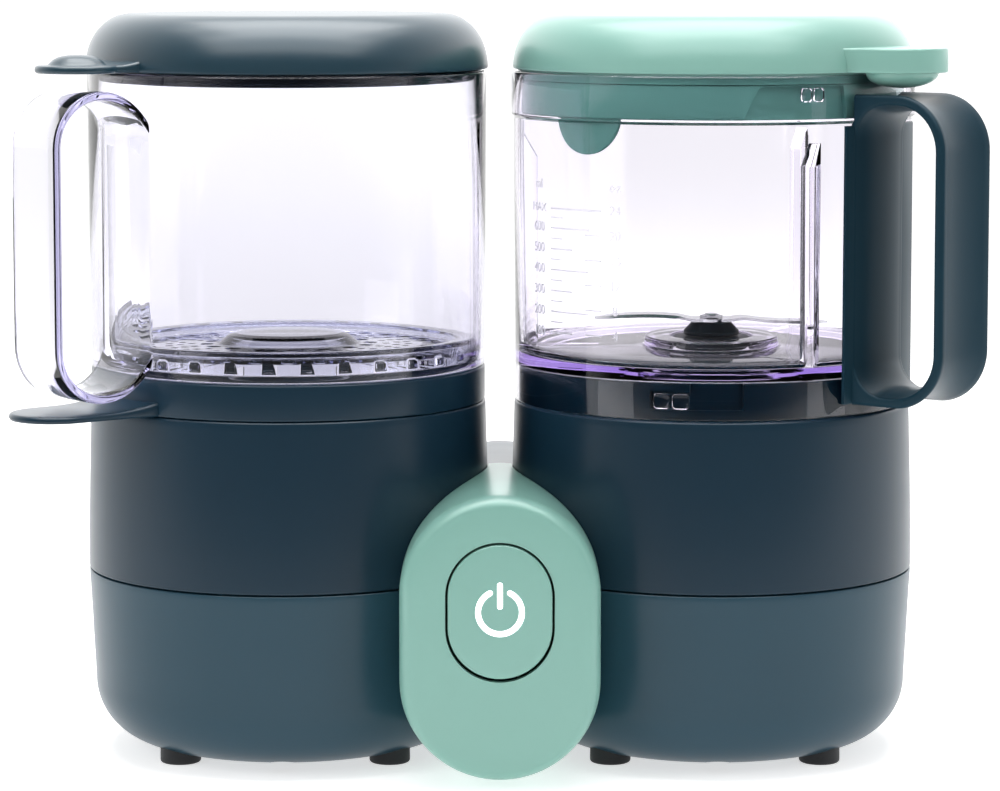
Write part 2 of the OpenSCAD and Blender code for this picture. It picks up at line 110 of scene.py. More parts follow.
def lathe(name, prof, at=(0, 0), segs=192, a0=0.0, a1=360.0, angle=32, place=None):
    """Turned solid from a closed (r, z) outline. place maps (x, y, z) points if given."""
    full = abs(a1 - a0) >= 359.999
    n = segs if full else max(3, int(segs * abs(a1 - a0) / 360)) + 1
    k = len(prof)
    verts, faces = [], []
    for i in range(n):
        a = math.radians(a0 + (a1 - a0) * i / (n if full else n - 1))
        for r, z in prof:
            verts.append((at[0] + r * cos(a), at[1] + r * sin(a), z))
    for i in range(n if full else n - 1):
        j = (i + 1) % n
        for p in range(k):
            q = (p + 1) % k
            ra, rb = prof[p][0], prof[q][0]
            f = [i * k + p, j * k + p, j * k + q, i * k + q]
            if ra < 1e-6 and rb < 1e-6: continue
            if ra < 1e-6: f = [i * k + p, j * k + q, i * k + q]
            elif rb < 1e-6: f = [i * k + p, j * k + p, i * k + q]
            faces.append(f)
    if not full:
        faces.append(list(range(k)))
        faces.append([(n - 1) * k + p for p in range(k)][::-1])
    if place: verts = [place(v) for v in verts]
    return make(name, verts, faces, angle)

def loft(name, rings, caps=True, angle=32, closed=False):
    """Rings of equal length joined in order, with flat ends unless closed."""
    k = len(rings[0])
    verts = [p for ring in rings for p in ring]
    faces = []
    m = len(rings)
    for i in range(m if closed else m - 1):
        j = (i + 1) % m
        for p in range(k):
            q = (p + 1) % k
            faces.append([i * k + p, i * k + q, j * k + q, j * k + p])
    if caps and not closed:
        faces.append(list(range(k))[::-1])
        faces.append([(m - 1) * k + p for p in range(k)])
    return make(name, verts, faces, angle)

def evaluated(ob):
    dg = bpy.context.evaluated_depsgraph_get()
    dg.update()
    me = bpy.data.meshes.new_from_object(ob.evaluated_get(dg), depsgraph=dg)
    ob.modifiers.clear()
    old = ob.data
    ob.data = me
    bpy.data.meshes.remove(old)
    return ob

def drop(*obs):
    for o in obs:
        me = o.data
        bpy.data.objects.remove(o)
        if me.users == 0: bpy.data.meshes.remove(me)

def boolean(ob, others, op="DIFFERENCE", keep=False, angle=32, clean=True):
    others = others if isinstance(others, (list, tuple)) else [others]
    for o in others:
        m = ob.modifiers.new("b", "BOOLEAN")
        m.operation, m.solver, m.object = op, "EXACT", o
    evaluated(ob)
    if not keep: drop(*others)
    if clean:
        bm = bmesh.new(); bm.from_mesh(ob.data)
        bmesh.ops.remove_doubles(bm, verts=bm.verts, dist=8e-7)
        bmesh.ops.dissolve_degenerate(bm, edges=bm.edges, dist=4e-7)
        bm.to_mesh(ob.data); bm.free()
    shade(ob, angle)
    return ob

def join(name, obs, angle=32):
    bm = bmesh.new()
    for o in obs:
        me = o.data.copy(); me.transform(o.matrix_world)
        bm.from_mesh(me); bpy.data.meshes.remove(me)
    me = bpy.data.meshes.new(name); bm.to_mesh(me); bm.free()
    drop(*obs)
    ob = bpy.data.objects.new(name, me)
    bpy.context.scene.collection.objects.link(ob)
    return shade(ob, angle)

def block(x0, x1, y0, y1, z0, z1):
    v = [(x, y, z) for x in (x0, x1) for y in (y0, y1) for z in (z0, z1)]
    f = [[0, 1, 3, 2], [4, 6, 7, 5], [0, 4, 5, 1], [2, 3, 7, 6], [0, 2, 6, 4], [1, 5, 7, 3]]
    return make("tmp", v, f)

def turned(at, az):
    """Maps (q, t, z) in a handle's own directions to the row frame."""
    c, s = cos(az), sin(az)
    return lambda v: (at[0] + v[0] * c - v[1] * s, at[1] + v[0] * s + v[1] * c, v[2])

LG = turned(LEFT, pi + GRIP)
RG = turned(RIGHT, -GRIP)

def prism(name, outline, z0, z1, place=None, angle=32):
    v = [(x, y, z0) for x, y in outline] + [(x, y, z1) for x, y in outline]
    k = len(outline)
    f = [[i, (i + 1) % k, k + (i + 1) % k, k + i] for i in range(k)] + [list(range(k))[::-1], list(range(k, 2 * k))]
    if place: v = [place(p) for p in v]
    return make(name, v, f, angle)

def inset(outline, d):
    """Outline moved inwards by d along its normals; outline runs counter-clockwise."""
    k = len(outline)
    out = []
    for i in range(k):
        a, b = Vector(outline[i - 1]), Vector(outline[(i + 1) % k])
        t = (b - a).normalized()
        out.append((outline[i][0] - t.y * d, outline[i][1] + t.x * d))
    return out

def plate(name, outline, bottom, top, place=None, angle=32, zf=None):
    """Plate with shaped edges. bottom and top are lists of (inset, z), from the side to the middle; zf(x, y, z) may bend it."""
    rings = [[(x, y, z) for x, y in inset(outline, d)] for d, z in bottom[::-1]] + [[(x, y, z) for x, y in inset(outline, d)] for d, z in top]
    if zf: rings = [[(x, y, zf(x, y, z)) for x, y, z in r] for r in rings]
    if place: rings = [[place(p) for p in r] for r in rings]
    return loft(name, rings, True, angle)

def edge(r, z, up=1, n=4):
    """(inset, z) list for a quarter-round edge of radius r that ends at height z."""
    return [(r - r * cos(pi / 2 * i / n), z - up * r + up * r * sin(pi / 2 * i / n)) for i in range(n + 1)]

def pad(name, half, tops, bots, place, zt=None, zb=None, angle=32):
    """Flat tab that is symmetric about its own axis. half lists (q, y, spine q) from the root to the tip; tops and bots list (inset, z)."""
    line = half + [(q, -y, s) for q, y, s in half[-2::-1]]
    n = len(line)
    verts, faces = [], []
    def surface(levels, bend):
        base, m = len(verts), len(levels)
        for q, y, s in line:
            L = math.hypot(q - s, y)
            for d, z in levels:
                f = min(d / L, 0.97) if L > 1e-9 else 0
                p = (q + (s - q) * f, y * (1 - f))
                verts.append((*p, bend(p[0], p[1], z) if bend else z))
            verts.append((s, 0.0, bend(s, 0.0, levels[-1][1]) if bend else levels[-1][1]))
        return base, m + 1
    tb, tm = surface(tops, zt)
    bb, bm_ = surface(bots, zb)
    for i in range(n - 1):
        for k in range(tm - 1): faces.append([tb + i * tm + k, tb + (i + 1) * tm + k, tb + (i + 1) * tm + k + 1, tb + i * tm + k + 1])
        for k in range(bm_ - 1): faces.append([bb + i * bm_ + k, bb + i * bm_ + k + 1, bb + (i + 1) * bm_ + k + 1, bb + (i + 1) * bm_ + k])
        faces.append([tb + i * tm, bb + i * bm_, bb + (i + 1) * bm_, tb + (i + 1) * tm])
    last = n - 1
    faces.append([tb + k for k in range(tm)] + [tb + last * tm + k for k in range(tm - 2, -1, -1)] + [bb + last * bm_ + k for k in range(bm_)] + [bb + k for k in range(bm_ - 2, -1, -1)])
    return make(name, [place(v) for v in verts], faces, angle)

def tab_half(root, q0, w0, qc, r, n=18, join=0.0, m=30):
    """Half outline of a tab: straight from root to q0, a flare down to the round end of radius r at qc. join is how far back the round end reaches."""
    y1 = sqrt(r * r - join * join)
    o = [(root, w0, root), ((root + q0) / 2, w0, (root + q0) / 2)]
    q1 = qc - join
    slope = join / y1 if join else 0.0
    for i in range(n):
        t = i / n
        q = q0 + (q1 - q0) * t
        o.append((q, y1 + (w0 - y1) * (1 - t) ** 3, q))
    a0 = math.degrees(math.atan2(y1, -join)) if join else 90.0
    for i in range(m + 1):
        a = math.radians(a0 * (1 - i / m))
        o.append((qc + r * cos(a), r * sin(a) if i < m else 0.0, qc))
    return o

# ------------------------------------------------------------------ materials
def nodes_of(m):
    m.use_nodes = True
    nt = m.node_tree
    return nt, nt.nodes, nt.links

def plastic(name, col, rough, spread=0.06, tint=0.05, grain=2600, bump=0.04, coat=0.0, sheen=0.0, sss=0.0, blotch=22.0, spec=0.5):
    """Moulded plastic: slow colour drift, finer gloss change, and the mould's fine grain as bump."""
    m = bpy.data.materials.new(name)
    nt, n, l = nodes_of(m)
    b = n["Principled BSDF"]
    tc = n.new("ShaderNodeTexCoord")
    big = n.new("ShaderNodeTexNoise"); big.inputs["Scale"].default_value = blotch; big.inputs["Detail"].default_value = 1
    mid = n.new("ShaderNodeTexNoise"); mid.inputs["Scale"].default_value = 90; mid.inputs["Detail"].default_value = 1
    fine = n.new("ShaderNodeTexNoise"); fine.inputs["Scale"].default_value = grain; fine.inputs["Detail"].default_value = 2
    for t in (big, mid, fine): l.new(tc.outputs["Object"], t.inputs["Vector"])
    ramp = n.new("ShaderNodeValToRGB")
    e = ramp.color_ramp.elements
    e[0].position, e[1].position = 0.15, 0.85
    e[0].color = (*[c * (1 - tint) for c in col], 1)
    e[1].color = (*[min(1, c * (1 + tint)) for c in col], 1)
    l.new(big.outputs["Fac"], ramp.inputs["Fac"])
    l.new(ramp.outputs["Color"], b.inputs["Base Color"])
    mr = n.new("ShaderNodeMapRange")
    mr.inputs["From Min"].default_value, mr.inputs["From Max"].default_value = 0.1, 0.9
    mr.inputs["To Min"].default_value, mr.inputs["To Max"].default_value = rough - spread / 2, rough + spread / 2
    l.new(mid.outputs["Fac"], mr.inputs["Value"])
    l.new(mr.outputs["Result"], b.inputs["Roughness"])
    bp = n.new("ShaderNodeBump"); bp.inputs["Strength"].default_value = bump; bp.inputs["Distance"].default_value = 0.0002
    l.new(fine.outputs["Fac"], bp.inputs["Height"]); l.new(bp.outputs["Normal"], b.inputs["Normal"])
    b.inputs["Coat Weight"].default_value = coat
    b.inputs["Coat Roughness"].default_value = 0.12
    b.inputs["Sheen Weight"].default_value = sheen
    b.inputs["Specular IOR Level"].default_value = spec
    if sss > 0:
        b.inputs["Subsurface Weight"].default_value = sss
        b.inputs["Subsurface Scale"].default_value = 0.004
        b.inputs["Subsurface Radius"].default_value = (0.8, 1.0, 0.9)
    return m

def clear_mat(name, tint, density, ior=1.5, rough=0.0, absorb=(0.80, 0.78, 1.0)):
    """Clear moulded plastic. Lamps pass through; long paths inside it take a cool tint."""
    m = bpy.data.materials.new(name)
    nt, n, l = nodes_of(m)
    b, out = n["Principled BSDF"], n["Material Output"]
    tc = n.new("ShaderNodeTexCoord")
    nz = n.new("ShaderNodeTexNoise"); nz.inputs["Scale"].default_value = 35; nz.inputs["Detail"].default_value = 2
    l.new(tc.outputs["Object"], nz.inputs["Vector"])
    ramp = n.new("ShaderNodeValToRGB")
    e = ramp.color_ramp.elements
    e[0].position, e[1].position = 0.3, 0.7
    e[0].color = (*tint, 1); e[1].color = (*[min(1, c * 1.006) for c in tint], 1)
    l.new(nz.outputs["Fac"], ramp.inputs["Fac"]); l.new(ramp.outputs["Color"], b.inputs["Base Color"])
    b.inputs["Transmission Weight"].default_value = 1.0
    b.inputs["Roughness"].default_value = rough
    b.inputs["IOR"].default_value = ior
    bp = n.new("ShaderNodeBump"); bp.inputs["Strength"].default_value = 0.03; bp.inputs["Distance"].default_value = 0.0004
    l.new(nz.outputs["Fac"], bp.inputs["Height"]); l.new(bp.outputs["Normal"], b.inputs["Normal"])
    lp = n.new("ShaderNodeLightPath")
    tr = n.new("ShaderNodeBsdfTransparent"); tr.inputs["Color"].default_value = (0.93, 0.93, 0.955, 1)
    mx = n.new("ShaderNodeMixShader")
    l.new(lp.outputs["Is Shadow Ray"], mx.inputs[0]); l.new(b.outputs[0], mx.inputs[1]); l.new(tr.outputs[0], mx.inputs[2])
    l.new(mx.outputs[0], out.inputs["Surface"])
    va = n.new("ShaderNodeVolumeAbsorption")
    va.inputs["Color"].default_value = (*absorb, 1); va.inputs["Density"].default_value = density
    l.new(va.outputs[0], out.inputs["Volume"])
    return m

def metal(name, col, rough, aniso=0.0, scale=(1, 1, 60), bump=0.03, freq=400):
    m = bpy.data.materials.new(name)
    nt, n, l = nodes_of(m)
    b = n["Principled BSDF"]
    tc = n.new("ShaderNodeTexCoord"); mp = n.new("ShaderNodeMapping"); mp.inputs["Scale"].default_value = scale
    nz = n.new("ShaderNodeTexNoise"); nz.inputs["Scale"].default_value = freq; nz.inputs["Detail"].default_value = 4
    l.new(tc.outputs["Object"], mp.inputs["Vector"]); l.new(mp.outputs["Vector"], nz.inputs["Vector"])
    ramp = n.new("ShaderNodeValToRGB")
    e = ramp.color_ramp.elements
    e[0].position, e[1].position = 0.3, 0.7
    e[0].color = (*[c * 0.9 for c in col], 1); e[1].color = (*[min(1, c * 1.08) for c in col], 1)
    l.new(nz.outputs["Fac"], ramp.inputs["Fac"]); l.new(ramp.outputs["Color"], b.inputs["Base Color"])
    mr = n.new("ShaderNodeMapRange")
    mr.inputs["To Min"].default_value, mr.inputs["To Max"].default_value = rough * 0.75, rough * 1.25
    l.new(nz.outputs["Fac"], mr.inputs["Value"]); l.new(mr.outputs["Result"], b.inputs["Roughness"])
    b.inputs["Metallic"].default_value = 1.0
    b.inputs["Anisotropic"].default_value = aniso
    bp = n.new("ShaderNodeBump"); bp.inputs["Strength"].default_value = bump; bp.inputs["Distance"].default_value = 0.0001
    l.new(nz.outputs["Fac"], bp.inputs["Height"]); l.new(bp.outputs["Normal"], b.inputs["Normal"])
    return m

def lit(name, col, strength):
    m = bpy.data.materials.new(name)
    nt, n, l = nodes_of(m)
    b = n["Principled BSDF"]
    tc = n.new("ShaderNodeTexCoord"); nz = n.new("ShaderNodeTexNoise"); nz.inputs["Scale"].default_value = 300
    l.new(tc.outputs["Object"], nz.inputs["Vector"])
    ramp = n.new("ShaderNodeValToRGB")
    e = ramp.color_ramp.elements
    e[0].color = (*[c * 0.97 for c in col], 1); e[1].color = (*col, 1)
    l.new(nz.outputs["Fac"], ramp.inputs["Fac"]); l.new(ramp.outputs["Color"], b.inputs["Base Color"])
    b.inputs["Emission Color"].default_value = (*col, 1)
    b.inputs["Emission Strength"].default_value = strength
    b.inputs["Roughness"].default_value = 0.3
    return m

M_DARK = plastic("petrol_satin", (0.0060, 0.0228, 0.0395), 0.30, spread=0.03, tint=0.03, bump=0.012, grain=1500, spec=0.30)
# Lighter copy of the same petrol plastic for the lower housing: painted light standing in for the bright floor
# reflected in it.
M_DARK_FLOOR_LIT = plastic("petrol_satin_painted_floor_light", (0.0115, 0.0445, 0.0680), 0.32, spread=0.03, tint=0.03, bump=0.012, grain=1500, spec=0.33)
M_HANDLE = plastic("petrol_handle", (0.0085, 0.0290, 0.0440), 0.34, spread=0.03, tint=0.03, bump=0.012, grain=1500, spec=0.10)
M_LID = plastic("petrol_polished", (0.0110, 0.0350, 0.0520), 0.30, spread=0.03, tint=0.03, bump=0.012, grain=1500, spec=0.5)
M_COLLAR = plastic("petrol_deep", (0.0012, 0.0080, 0.0150), 0.32, spread=0.03, bump=0.012, spec=0.03)
M_MINT = plastic("pale_green_satin", (0.200, 0.395, 0.340), 0.29, spread=0.02, tint=0.012, bump=0.010, grain=1500)
# Darker copy of the pale green plastic: painted shade for the blender lid's skirt, which sits in shadow under the rim;
# the lid seal uses it too.
M_SKIRT_PAINTED_SHADE = plastic("pale_green_seal_painted_shade", (0.085, 0.225, 0.195), 0.42, spread=0.02, tint=0.012, bump=0.01, spec=0.2)
M_CLEAR = clear_mat("clear_bowl", (0.985, 0.982, 0.995), 105.0, ior=1.40, absorb=(0.80, 0.785, 0.92))
M_GRID = clear_mat("clear_grid", (0.96, 0.96, 0.985), 190.0, absorb=(0.60, 0.62, 0.78))
M_JUG = clear_mat("clear_jug", (0.985, 0.980, 0.995), 42.0, ior=1.38, absorb=(0.80, 0.71, 0.94))
M_SCALE = clear_mat("frosted_scale", (0.94, 0.935, 0.96), 260.0, rough=0.45, absorb=(0.62, 0.62, 0.72))
M_RUBBER = plastic("black_rubber", (0.008, 0.009, 0.011), 0.6, spread=0.1, tint=0.15, grain=1200, bump=0.12)
M_SEAL = plastic("black_seal", (0.003, 0.006, 0.012), 0.35, spread=0.05, tint=0.1, bump=0.03, spec=0.10)
M_SILI = plastic("pale_silicone", (0.55, 0.58, 0.57), 0.45, sss=0.3)
M_BLACK = plastic("black_moulding", (0.002, 0.006, 0.009), 0.38, bump=0.03, spec=0.05)
M_STEEL = metal("brushed_steel", (0.60, 0.60, 0.61), 0.28, 0.5, (1, 1, 40))
M_BLADE = metal("ground_blade", (0.66, 0.67, 0.68), 0.20, 0.3, (6, 60, 6))
M_ALU = metal("cast_aluminium", (0.62, 0.63, 0.64), 0.42, 0.0, (1, 1, 1), bump=0.2, freq=700)
M_BRONZE = metal("sintered_bronze", (0.50, 0.33, 0.16), 0.45, 0.0, (1, 1, 1), bump=0.3, freq=1500)
M_COPPER = metal("enamelled_copper", (0.56, 0.23, 0.10), 0.30, 0.0, (1, 1, 30), bump=0.5, freq=500)
M_FERRITE = plastic("ferrite", (0.03, 0.03, 0.033), 0.7, grain=900, bump=0.3)
M_BOARD = plastic("solder_mask", (0.01, 0.09, 0.04), 0.35, tint=0.2, blotch=120)
M_LIGHT = lit("lit_diffuser", (0.95, 0.97, 0.97), 1.1)

def dress(ob, mat, body=None, slot=None, *stands_for):
    ob.data.materials.clear(); ob.data.materials.append(mat)
    if body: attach(ob, body)
    if stands_for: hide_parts(*stands_for)
    return ob

for names, mat in ((("housing_screws", "heater_element", "motor_stator", "motor_shaft", "blade_spindle", "blade_nut", "water_reservoir"), M_STEEL),
                   (("cord_bush", "motor_mounts", "deck_seal", "spindle_seal"), M_RUBBER),
                   (("control_board", "power_board"), M_BOARD),
                   (("button_switch", "thermostat", "brush_holders", "reed_switch", "cooling_fan", "drive_coupling", "blade_coupling"), M_BLACK),
                   (("reservoir_seal",), M_SILI), (("jug_seal",), M_COLLAR), (("lid_seal",), M_SKIRT_PAINTED_SHADE),
                   (("heater_plate", "motor_bracket_lower", "motor_bracket_upper"), M_ALU),
                   (("motor_bearings", "spindle_bush"), M_BRONZE), (("field_coils", "armature", "commutator"), M_COPPER),
                   (("interlock_magnet",), M_FERRITE), (("steamer_lid_seal",), M_SEAL)):
    for k in names:
        N[k].data.materials.clear(); N[k].data.materials.append(mat)

# ------------------------------------------------------------------ columns
Z0, FR, FZ = 2.6, 23.0, 22.0
SEAM0, SEAM1 = 63.6, 64.2
side_R = pchip([24.6, 31, 36.5, 47, 57.5, 63.9, 75, 90, 105, 122], [68.1, 68.4, 68.7, 69.2, 69.75, 70.1, 70.05, 69.8, 69.4, 68.9])
def col_R(z):
    if z >= 24.6: return side_R(z)
    t = max(0.0, min(1.0, (24.6 - z) / FZ))
    return 68.1 - FR + FR * sqrt(max(0, 1 - t * t))
def col_line(za, zb, step=2.0, d=0.0):
    k = max(1, int(math.ceil(abs(zb - za) / step)))
    return [(side_R(za + (zb - za) * i / k) + d, za + (zb - za) * i / k) for i in range(k + 1)]

def capsule_rings(a, zl, zh, prof, n=40, m=10):
    """Rings of a capsule outline. prof lists (inset, y); a is the half width and zl, zh the end centres."""
    rings = []
    for d, y in prof:
        r = a - d
        ring = [(r * cos(pi * i / n), y, zh + r * sin(pi * i / n)) for i in range(n + 1)]
        ring += [(-r, y, zh + (zl - zh) * i / m) for i in range(1, m)]
        ring += [(-r * cos(pi * i / n), y, zl - r * sin(pi * i / n)) for i in range(n + 1)]
        ring += [(r, y, zl + (zh - zl) * i / m) for i in range(1, m)]
        rings.append(ring)
    return rings

BR_TOP, REAR = 96.8, 80.35
def bridge(d, y0, za, zb):
    """Half capsule between the columns from y0 to the rear face, grown by d, kept between two heights."""
    a = 33.5 + d
    prof = [(0, y0 + (73.35 - y0) * i / 12) for i in range(13)] + [(5 - 5 * cos(pi / 2 * i / 8), 73.35 + (7 + d) * sin(pi / 2 * i / 8)) for i in range(1, 9)]
    ob = loft("tmp", capsule_rings(a, Z0 + 33.5, BR_TOP - 33.5, prof))
    return boolean(ob, block(-60, 60, -20, 100, za, zb), "INTERSECT")

def column_core(d, za, zb, at):
    return lathe("tmp", [(0, za)] + [(col_R(za + (zb - za) * i / 30) + d, za + (zb - za) * i / 30) for i in range(31)] + [(0, zb)], at, 128)

def bridge_shell(za, zb):
    s = bridge(0, 0.13, za, zb)
    boolean(s, bridge(-2.5, 2.63, za - 5 if za > 50 else za + 2.5, zb + 5 if zb < 70 else zb))
    return boolean(s, [column_core(-1.2, 0.5, 125, LEFT), column_core(-1.2, 0.5, 125, RIGHT)])

low_outer = [(0, Z0), (40, Z0), (68.1 - FR, Z0)] + [(68.1 - FR + FR * sin(pi / 2 * i / 28), Z0 + FZ - FZ * cos(pi / 2 * i / 28)) for i in range(1, 29)] \
    + col_line(24.6, SEAM0 - 0.45)[1:] + arc(side_R(SEAM0) - 0.45, SEAM0 - 0.45, 0.45, 0.45, 0, 90, 4)[1:]
low_inner = [(67.2, SEAM0), (67.2, 67.0), (66.9, 67.4), (65.8, 67.4), (65.5, 67.1), (65.5, 55), (67.0, 53)] + [(r - 2.5, z) for r, z in col_line(52, 26, 4)] + [(62, 16), (55, 9), (44, 6.0), (0, 6.0)]
def foot_cutters(r, z0_, z1_):
    return [lathe("tmp", [(0, z0_), (r, z0_), (r, z1_), (0, z1_)], (s * C + x, y), 48) for s in (-1, 1) for x in (-36, 36) for y in (-34, 34)]
screw_xy = [(-C, 50), (-C - 50, 0), (-C, -50), (C, -50), (C + 50, 0), (C, 50)]

lower = lathe("lower_shell", low_outer + low_inner, LEFT, 224)
boolean(lower, [lathe("tmp", low_outer + low_inner, RIGHT, 224), bridge_shell(Z0, SEAM0)], "UNION", angle=30)
cut = foot_cutters(7.15, 0, 5.95) + [lathe("tmp", [(0, 0), (4, 0), (4, 8), (0, 8)], p, 40) for p in screw_xy]
for i in range(12):
    a = math.radians(30 * i)
    cut.append(prism("tmp", [(C + u * cos(a) - v * sin(a), u * sin(a) + v * cos(a)) for u, v in soften([(14, -1.5, 1.4), (28, -1.5, 1.4), (28, 1.5, 1.4), (14, 1.5, 1.4)])], 0, 8))
cut.append(lathe("tmp", [(0, 66), (6.6, 66), (6.6, 84), (0, 84)], (0, 0), 48, place=lambda v: (v[0], v[2], 26 + v[1])))
boolean(lower, cut, angle=30)
# The lower housing takes the lighter petrol copy, which carries painted floor light.
dress(lower, M_DARK_FLOOR_LIT, "base", "dark_plastic", "lower_housing_left", "lower_housing_right", "lower_housing_bridge")

def up_outer():
    return arc(side_R(SEAM1) - 0.45, SEAM1 + 0.45, 0.45, 0.45, -90, 0, 4) + col_line(SEAM1 + 0.6, 121.0) + arc(68.9 - 0.9, 121.1, 0.9, 0.9, 0, 90, 5)
mouth = [(66.0, 122), (65.2, 121.3), (65.2, 106), (60.5, 106), (60, 105.6), (60, 103.3), (60.5, 103), (66.9, 103)]
inner_up = [(r - 2.5, z) for r, z in col_line(102, 66, 6)]
upper = lathe("upper_shell", up_outer() + mouth + inner_up + [(67.5, SEAM1)], LEFT, 224)
seat = [(66.7, 122), (66.4, 121.7), (66.4, 119.5), (62, 119.5), (62, 117), (66.9, 116.6)]
boolean(upper, [lathe("tmp", up_outer() + seat + inner_up + [(67.5, SEAM1)], RIGHT, 224), bridge_shell(SEAM1, 100)], "UNION", angle=30)
dress(upper, M_DARK, "base", "dark_plastic", "upper_housing_left", "upper_housing_right", "upper_housing_bridge")
deck = lathe("motor_deck_plate", soften([(66.35, 119.55, 0.3), (66.35, 121.95, 0.35), (42.4, 121.95, 0.5), (41.9, 124.5, 0.4), (40.1, 124.5, 0.4), (39.6, 121.95, 0.5), (10.5, 121.95, 0.5), (10.5, 119.55, 0.2)], 4), RIGHT, 192)
dress(deck, M_DARK, "base", "dark_plastic", "motor_deck")

feet = join("rubber_feet", [lathe("tmp", [(0, 0.35), (2.4, 0.35), (2.9, 0)] + arc(6.1, 0.9, 0.9, 0.9, -90, 0, 5) + [(7, 2.5), (6.95, 5.9), (0, 5.9)], (s * C + x, y), 64)
                            for s in (-1, 1) for x in (-36, 36) for y in (-34, 34)])
dress(feet, M_RUBBER, "base", "black_rubber", "feet")
bush = lathe("cord_inlet_bush", soften([(3.6, 70.6, 0.3), (8.8, 70.6, 0.3), (8.8, 77.4, 0.3), (6.5, 77.4), (6.5, 79.7, 0.6), (3.6, 79.7, 0.8)]), (0, 0), 64, place=lambda v: (v[0], v[2], 26 + v[1]))
dress(bush, M_RUBBER, "base", "black_rubber", "cord_bush")

# ------------------------------------------------------------------ control pod and button
ICON_Z = 60.4
def pod_prof(a_in, y_front, y_back, rx, ry, crown, depth):
    """(inset, y) from the back to the middle of the front face, which bulges by crown."""
    p = [(a_in, y_back + (y_front + ry + crown - y_back) * i / 10) for i in range(11)]
    p += [(a_in + rx - rx * cos(pi / 2 * i / 9), y_front + crown + ry - ry * sin(pi / 2 * i / 9)) for i in range(1, 10)]
    p += [(a_in + rx + (depth - rx) * s, y_front + crown * (1 - s) ** 2) for s in (0.15, 0.3, 0.45, 0.6, 0.75, 0.9, 1.0)]
    return p
pod = loft("pod_shell", capsule_rings(33.5, 36.3, 65.4, pod_prof(0, -80.0, 0.3, 4.0, 6.0, 0.45, 14.5), 56, 14))
boolean(pod, loft("tmp", capsule_rings(33.5, 36.3, 65.4, pod_prof(2.5, -77.3, 2.0, 2.0, 3.5, 0.2, 15.0), 56, 14)))
hole = loft("tmp", capsule_rings(18.15, ICON_Z - 5.45, ICON_Z + 5.1, [(0, -82), (0, -70)], 40, 6))
boolean(pod, [column_core(0.4, 1.0, 125, LEFT), column_core(0.4, 1.0, 125, RIGHT), hole], angle=30)
dress(pod, M_MINT, "base", "mint_plastic", "control_pod")

but_prof = [(0, -72.5), (0, -75), (0, -77), (0, -78.6), (0, -79.4)] + [(0.7 - 0.7 * cos(pi / 2 * i / 5), -79.5 - 0.7 * sin(pi / 2 * i / 5)) for i in range(1, 6)] \
    + [(0.7 + 12 * s, -80.2 - 0.1 * (1 - (1 - s) ** 2)) for s in (0.2, 0.4, 0.6, 0.8, 1.0)]
button = loft("start_button_cap", capsule_rings(17.35, ICON_Z - 5.1, ICON_Z + 5.1, but_prof, 40, 6))
boolean(button, [loft("tmp", capsule_rings(15.4, ICON_Z - 5.1, ICON_Z + 5.1, [(0, -78.2), (0, -70)], 40, 6))])
boolean(button, [lathe("tmp", soften([(0, 61.9), (5, 61.9, 0.5), (5, 78.4), (0, 78.4)]), (0, 0), 48, place=lambda v: (v[0], -v[2], ICON_Z + v[1]))], "UNION")

def symbol(y0, y1, g=0.0):
    """Plain on sign: a ring open at the top with a short bar."""
    n, gap = 60, math.radians(27)
    ro, ri = 8.2 + g, 6.3 - g
    ring = []
    outer = [(ro * sin(gap + (2 * pi - 2 * gap) * i / n), ro * cos(gap + (2 * pi - 2 * gap) * i / n)) for i in range(n + 1)]
    innr = [(ri * sin(gap + (2 * pi - 2 * gap) * i / n), ri * cos(gap + (2 * pi - 2 * gap) * i / n)) for i in range(n + 1)][::-1]
    def ends(p, q):
        m = ((p[0] + q[0]) / 2, (p[1] + q[1]) / 2); r = math.hypot(p[0] - q[0], p[1] - q[1]) / 2
        a = math.atan2(p[1] - m[1], p[0] - m[0])
        return [(m[0] + r * cos(a - pi * k / 6), m[1] + r * sin(a - pi * k / 6)) for k in range(1, 6)]
    o = outer + ends(outer[-1], innr[0]) + innr + ends(innr[-1], outer[0])
    a = prism("tmp", o, y0, y1, place=lambda v: (v[0], v[2], ICON_Z + v[1]))
    w = 0.95 + g
    bar = [(w * cos(pi * k / 10), 9.05 + w * sin(pi * k / 10)) for k in range(11)] + [(-w * cos(pi * k / 10), 1.95 - w * sin(pi * k / 10)) for k in range(11)]
    return [a, prism("tmp", bar, y0, y1, place=lambda v: (v[0], v[2], ICON_Z + v[1]))]
boolean(button, symbol(-82, -79.4, 0.06), angle=30)
dress(button, M_MINT, "button", "mint_plastic", "start_button")
icon = join("on_sign", symbol(-80.33, -79.42))
dress(icon, M_LIGHT, "button", "white_light", "button_icon")

# ------------------------------------------------------------------ steam cooker
ring_prof = soften([(64.6, 122.3, 0.3), (68.7, 122.3, 0.5), (68.7, 134.5, 0.9), (65.8, 134.5, 0.7), (65.8, 124.6, 0.8), (62.8, 123.2, 0.8), (62.8, 113.0, 1.5), (21.2, 113.0, 1.5),
                    (21.2, 131, 0.7), (19.2, 131, 0.7), (19.2, 110.5, 0.6), (64.6, 110.5, 0.8)], 5)
tray = lathe("tray_ring", ring_prof, LEFT, 224)
def lift(q0, q1, dz, p=2.0):
    """Raises a surface by dz towards q0, dying out at q1."""
    return lambda q, y, z: z + dz * max(0.0, min(1.0, (q1 - q) / (q1 - q0))) ** p
tongue = pad("tmp", tab_half(65.6, 67.5, 17.5, 95.9, 15.5), edge(1.2, 124.7) + [(4, 124.75), (9, 124.85)], edge(1.0, 122.3, -1), LG, lift(67.0, 88.0, 2.4, 2.2))
boolean(tray, [tongue], "UNION", angle=34)
dress(tray, M_DARK, "tray", "dark_plastic", "juice_tray", "tray_tab")

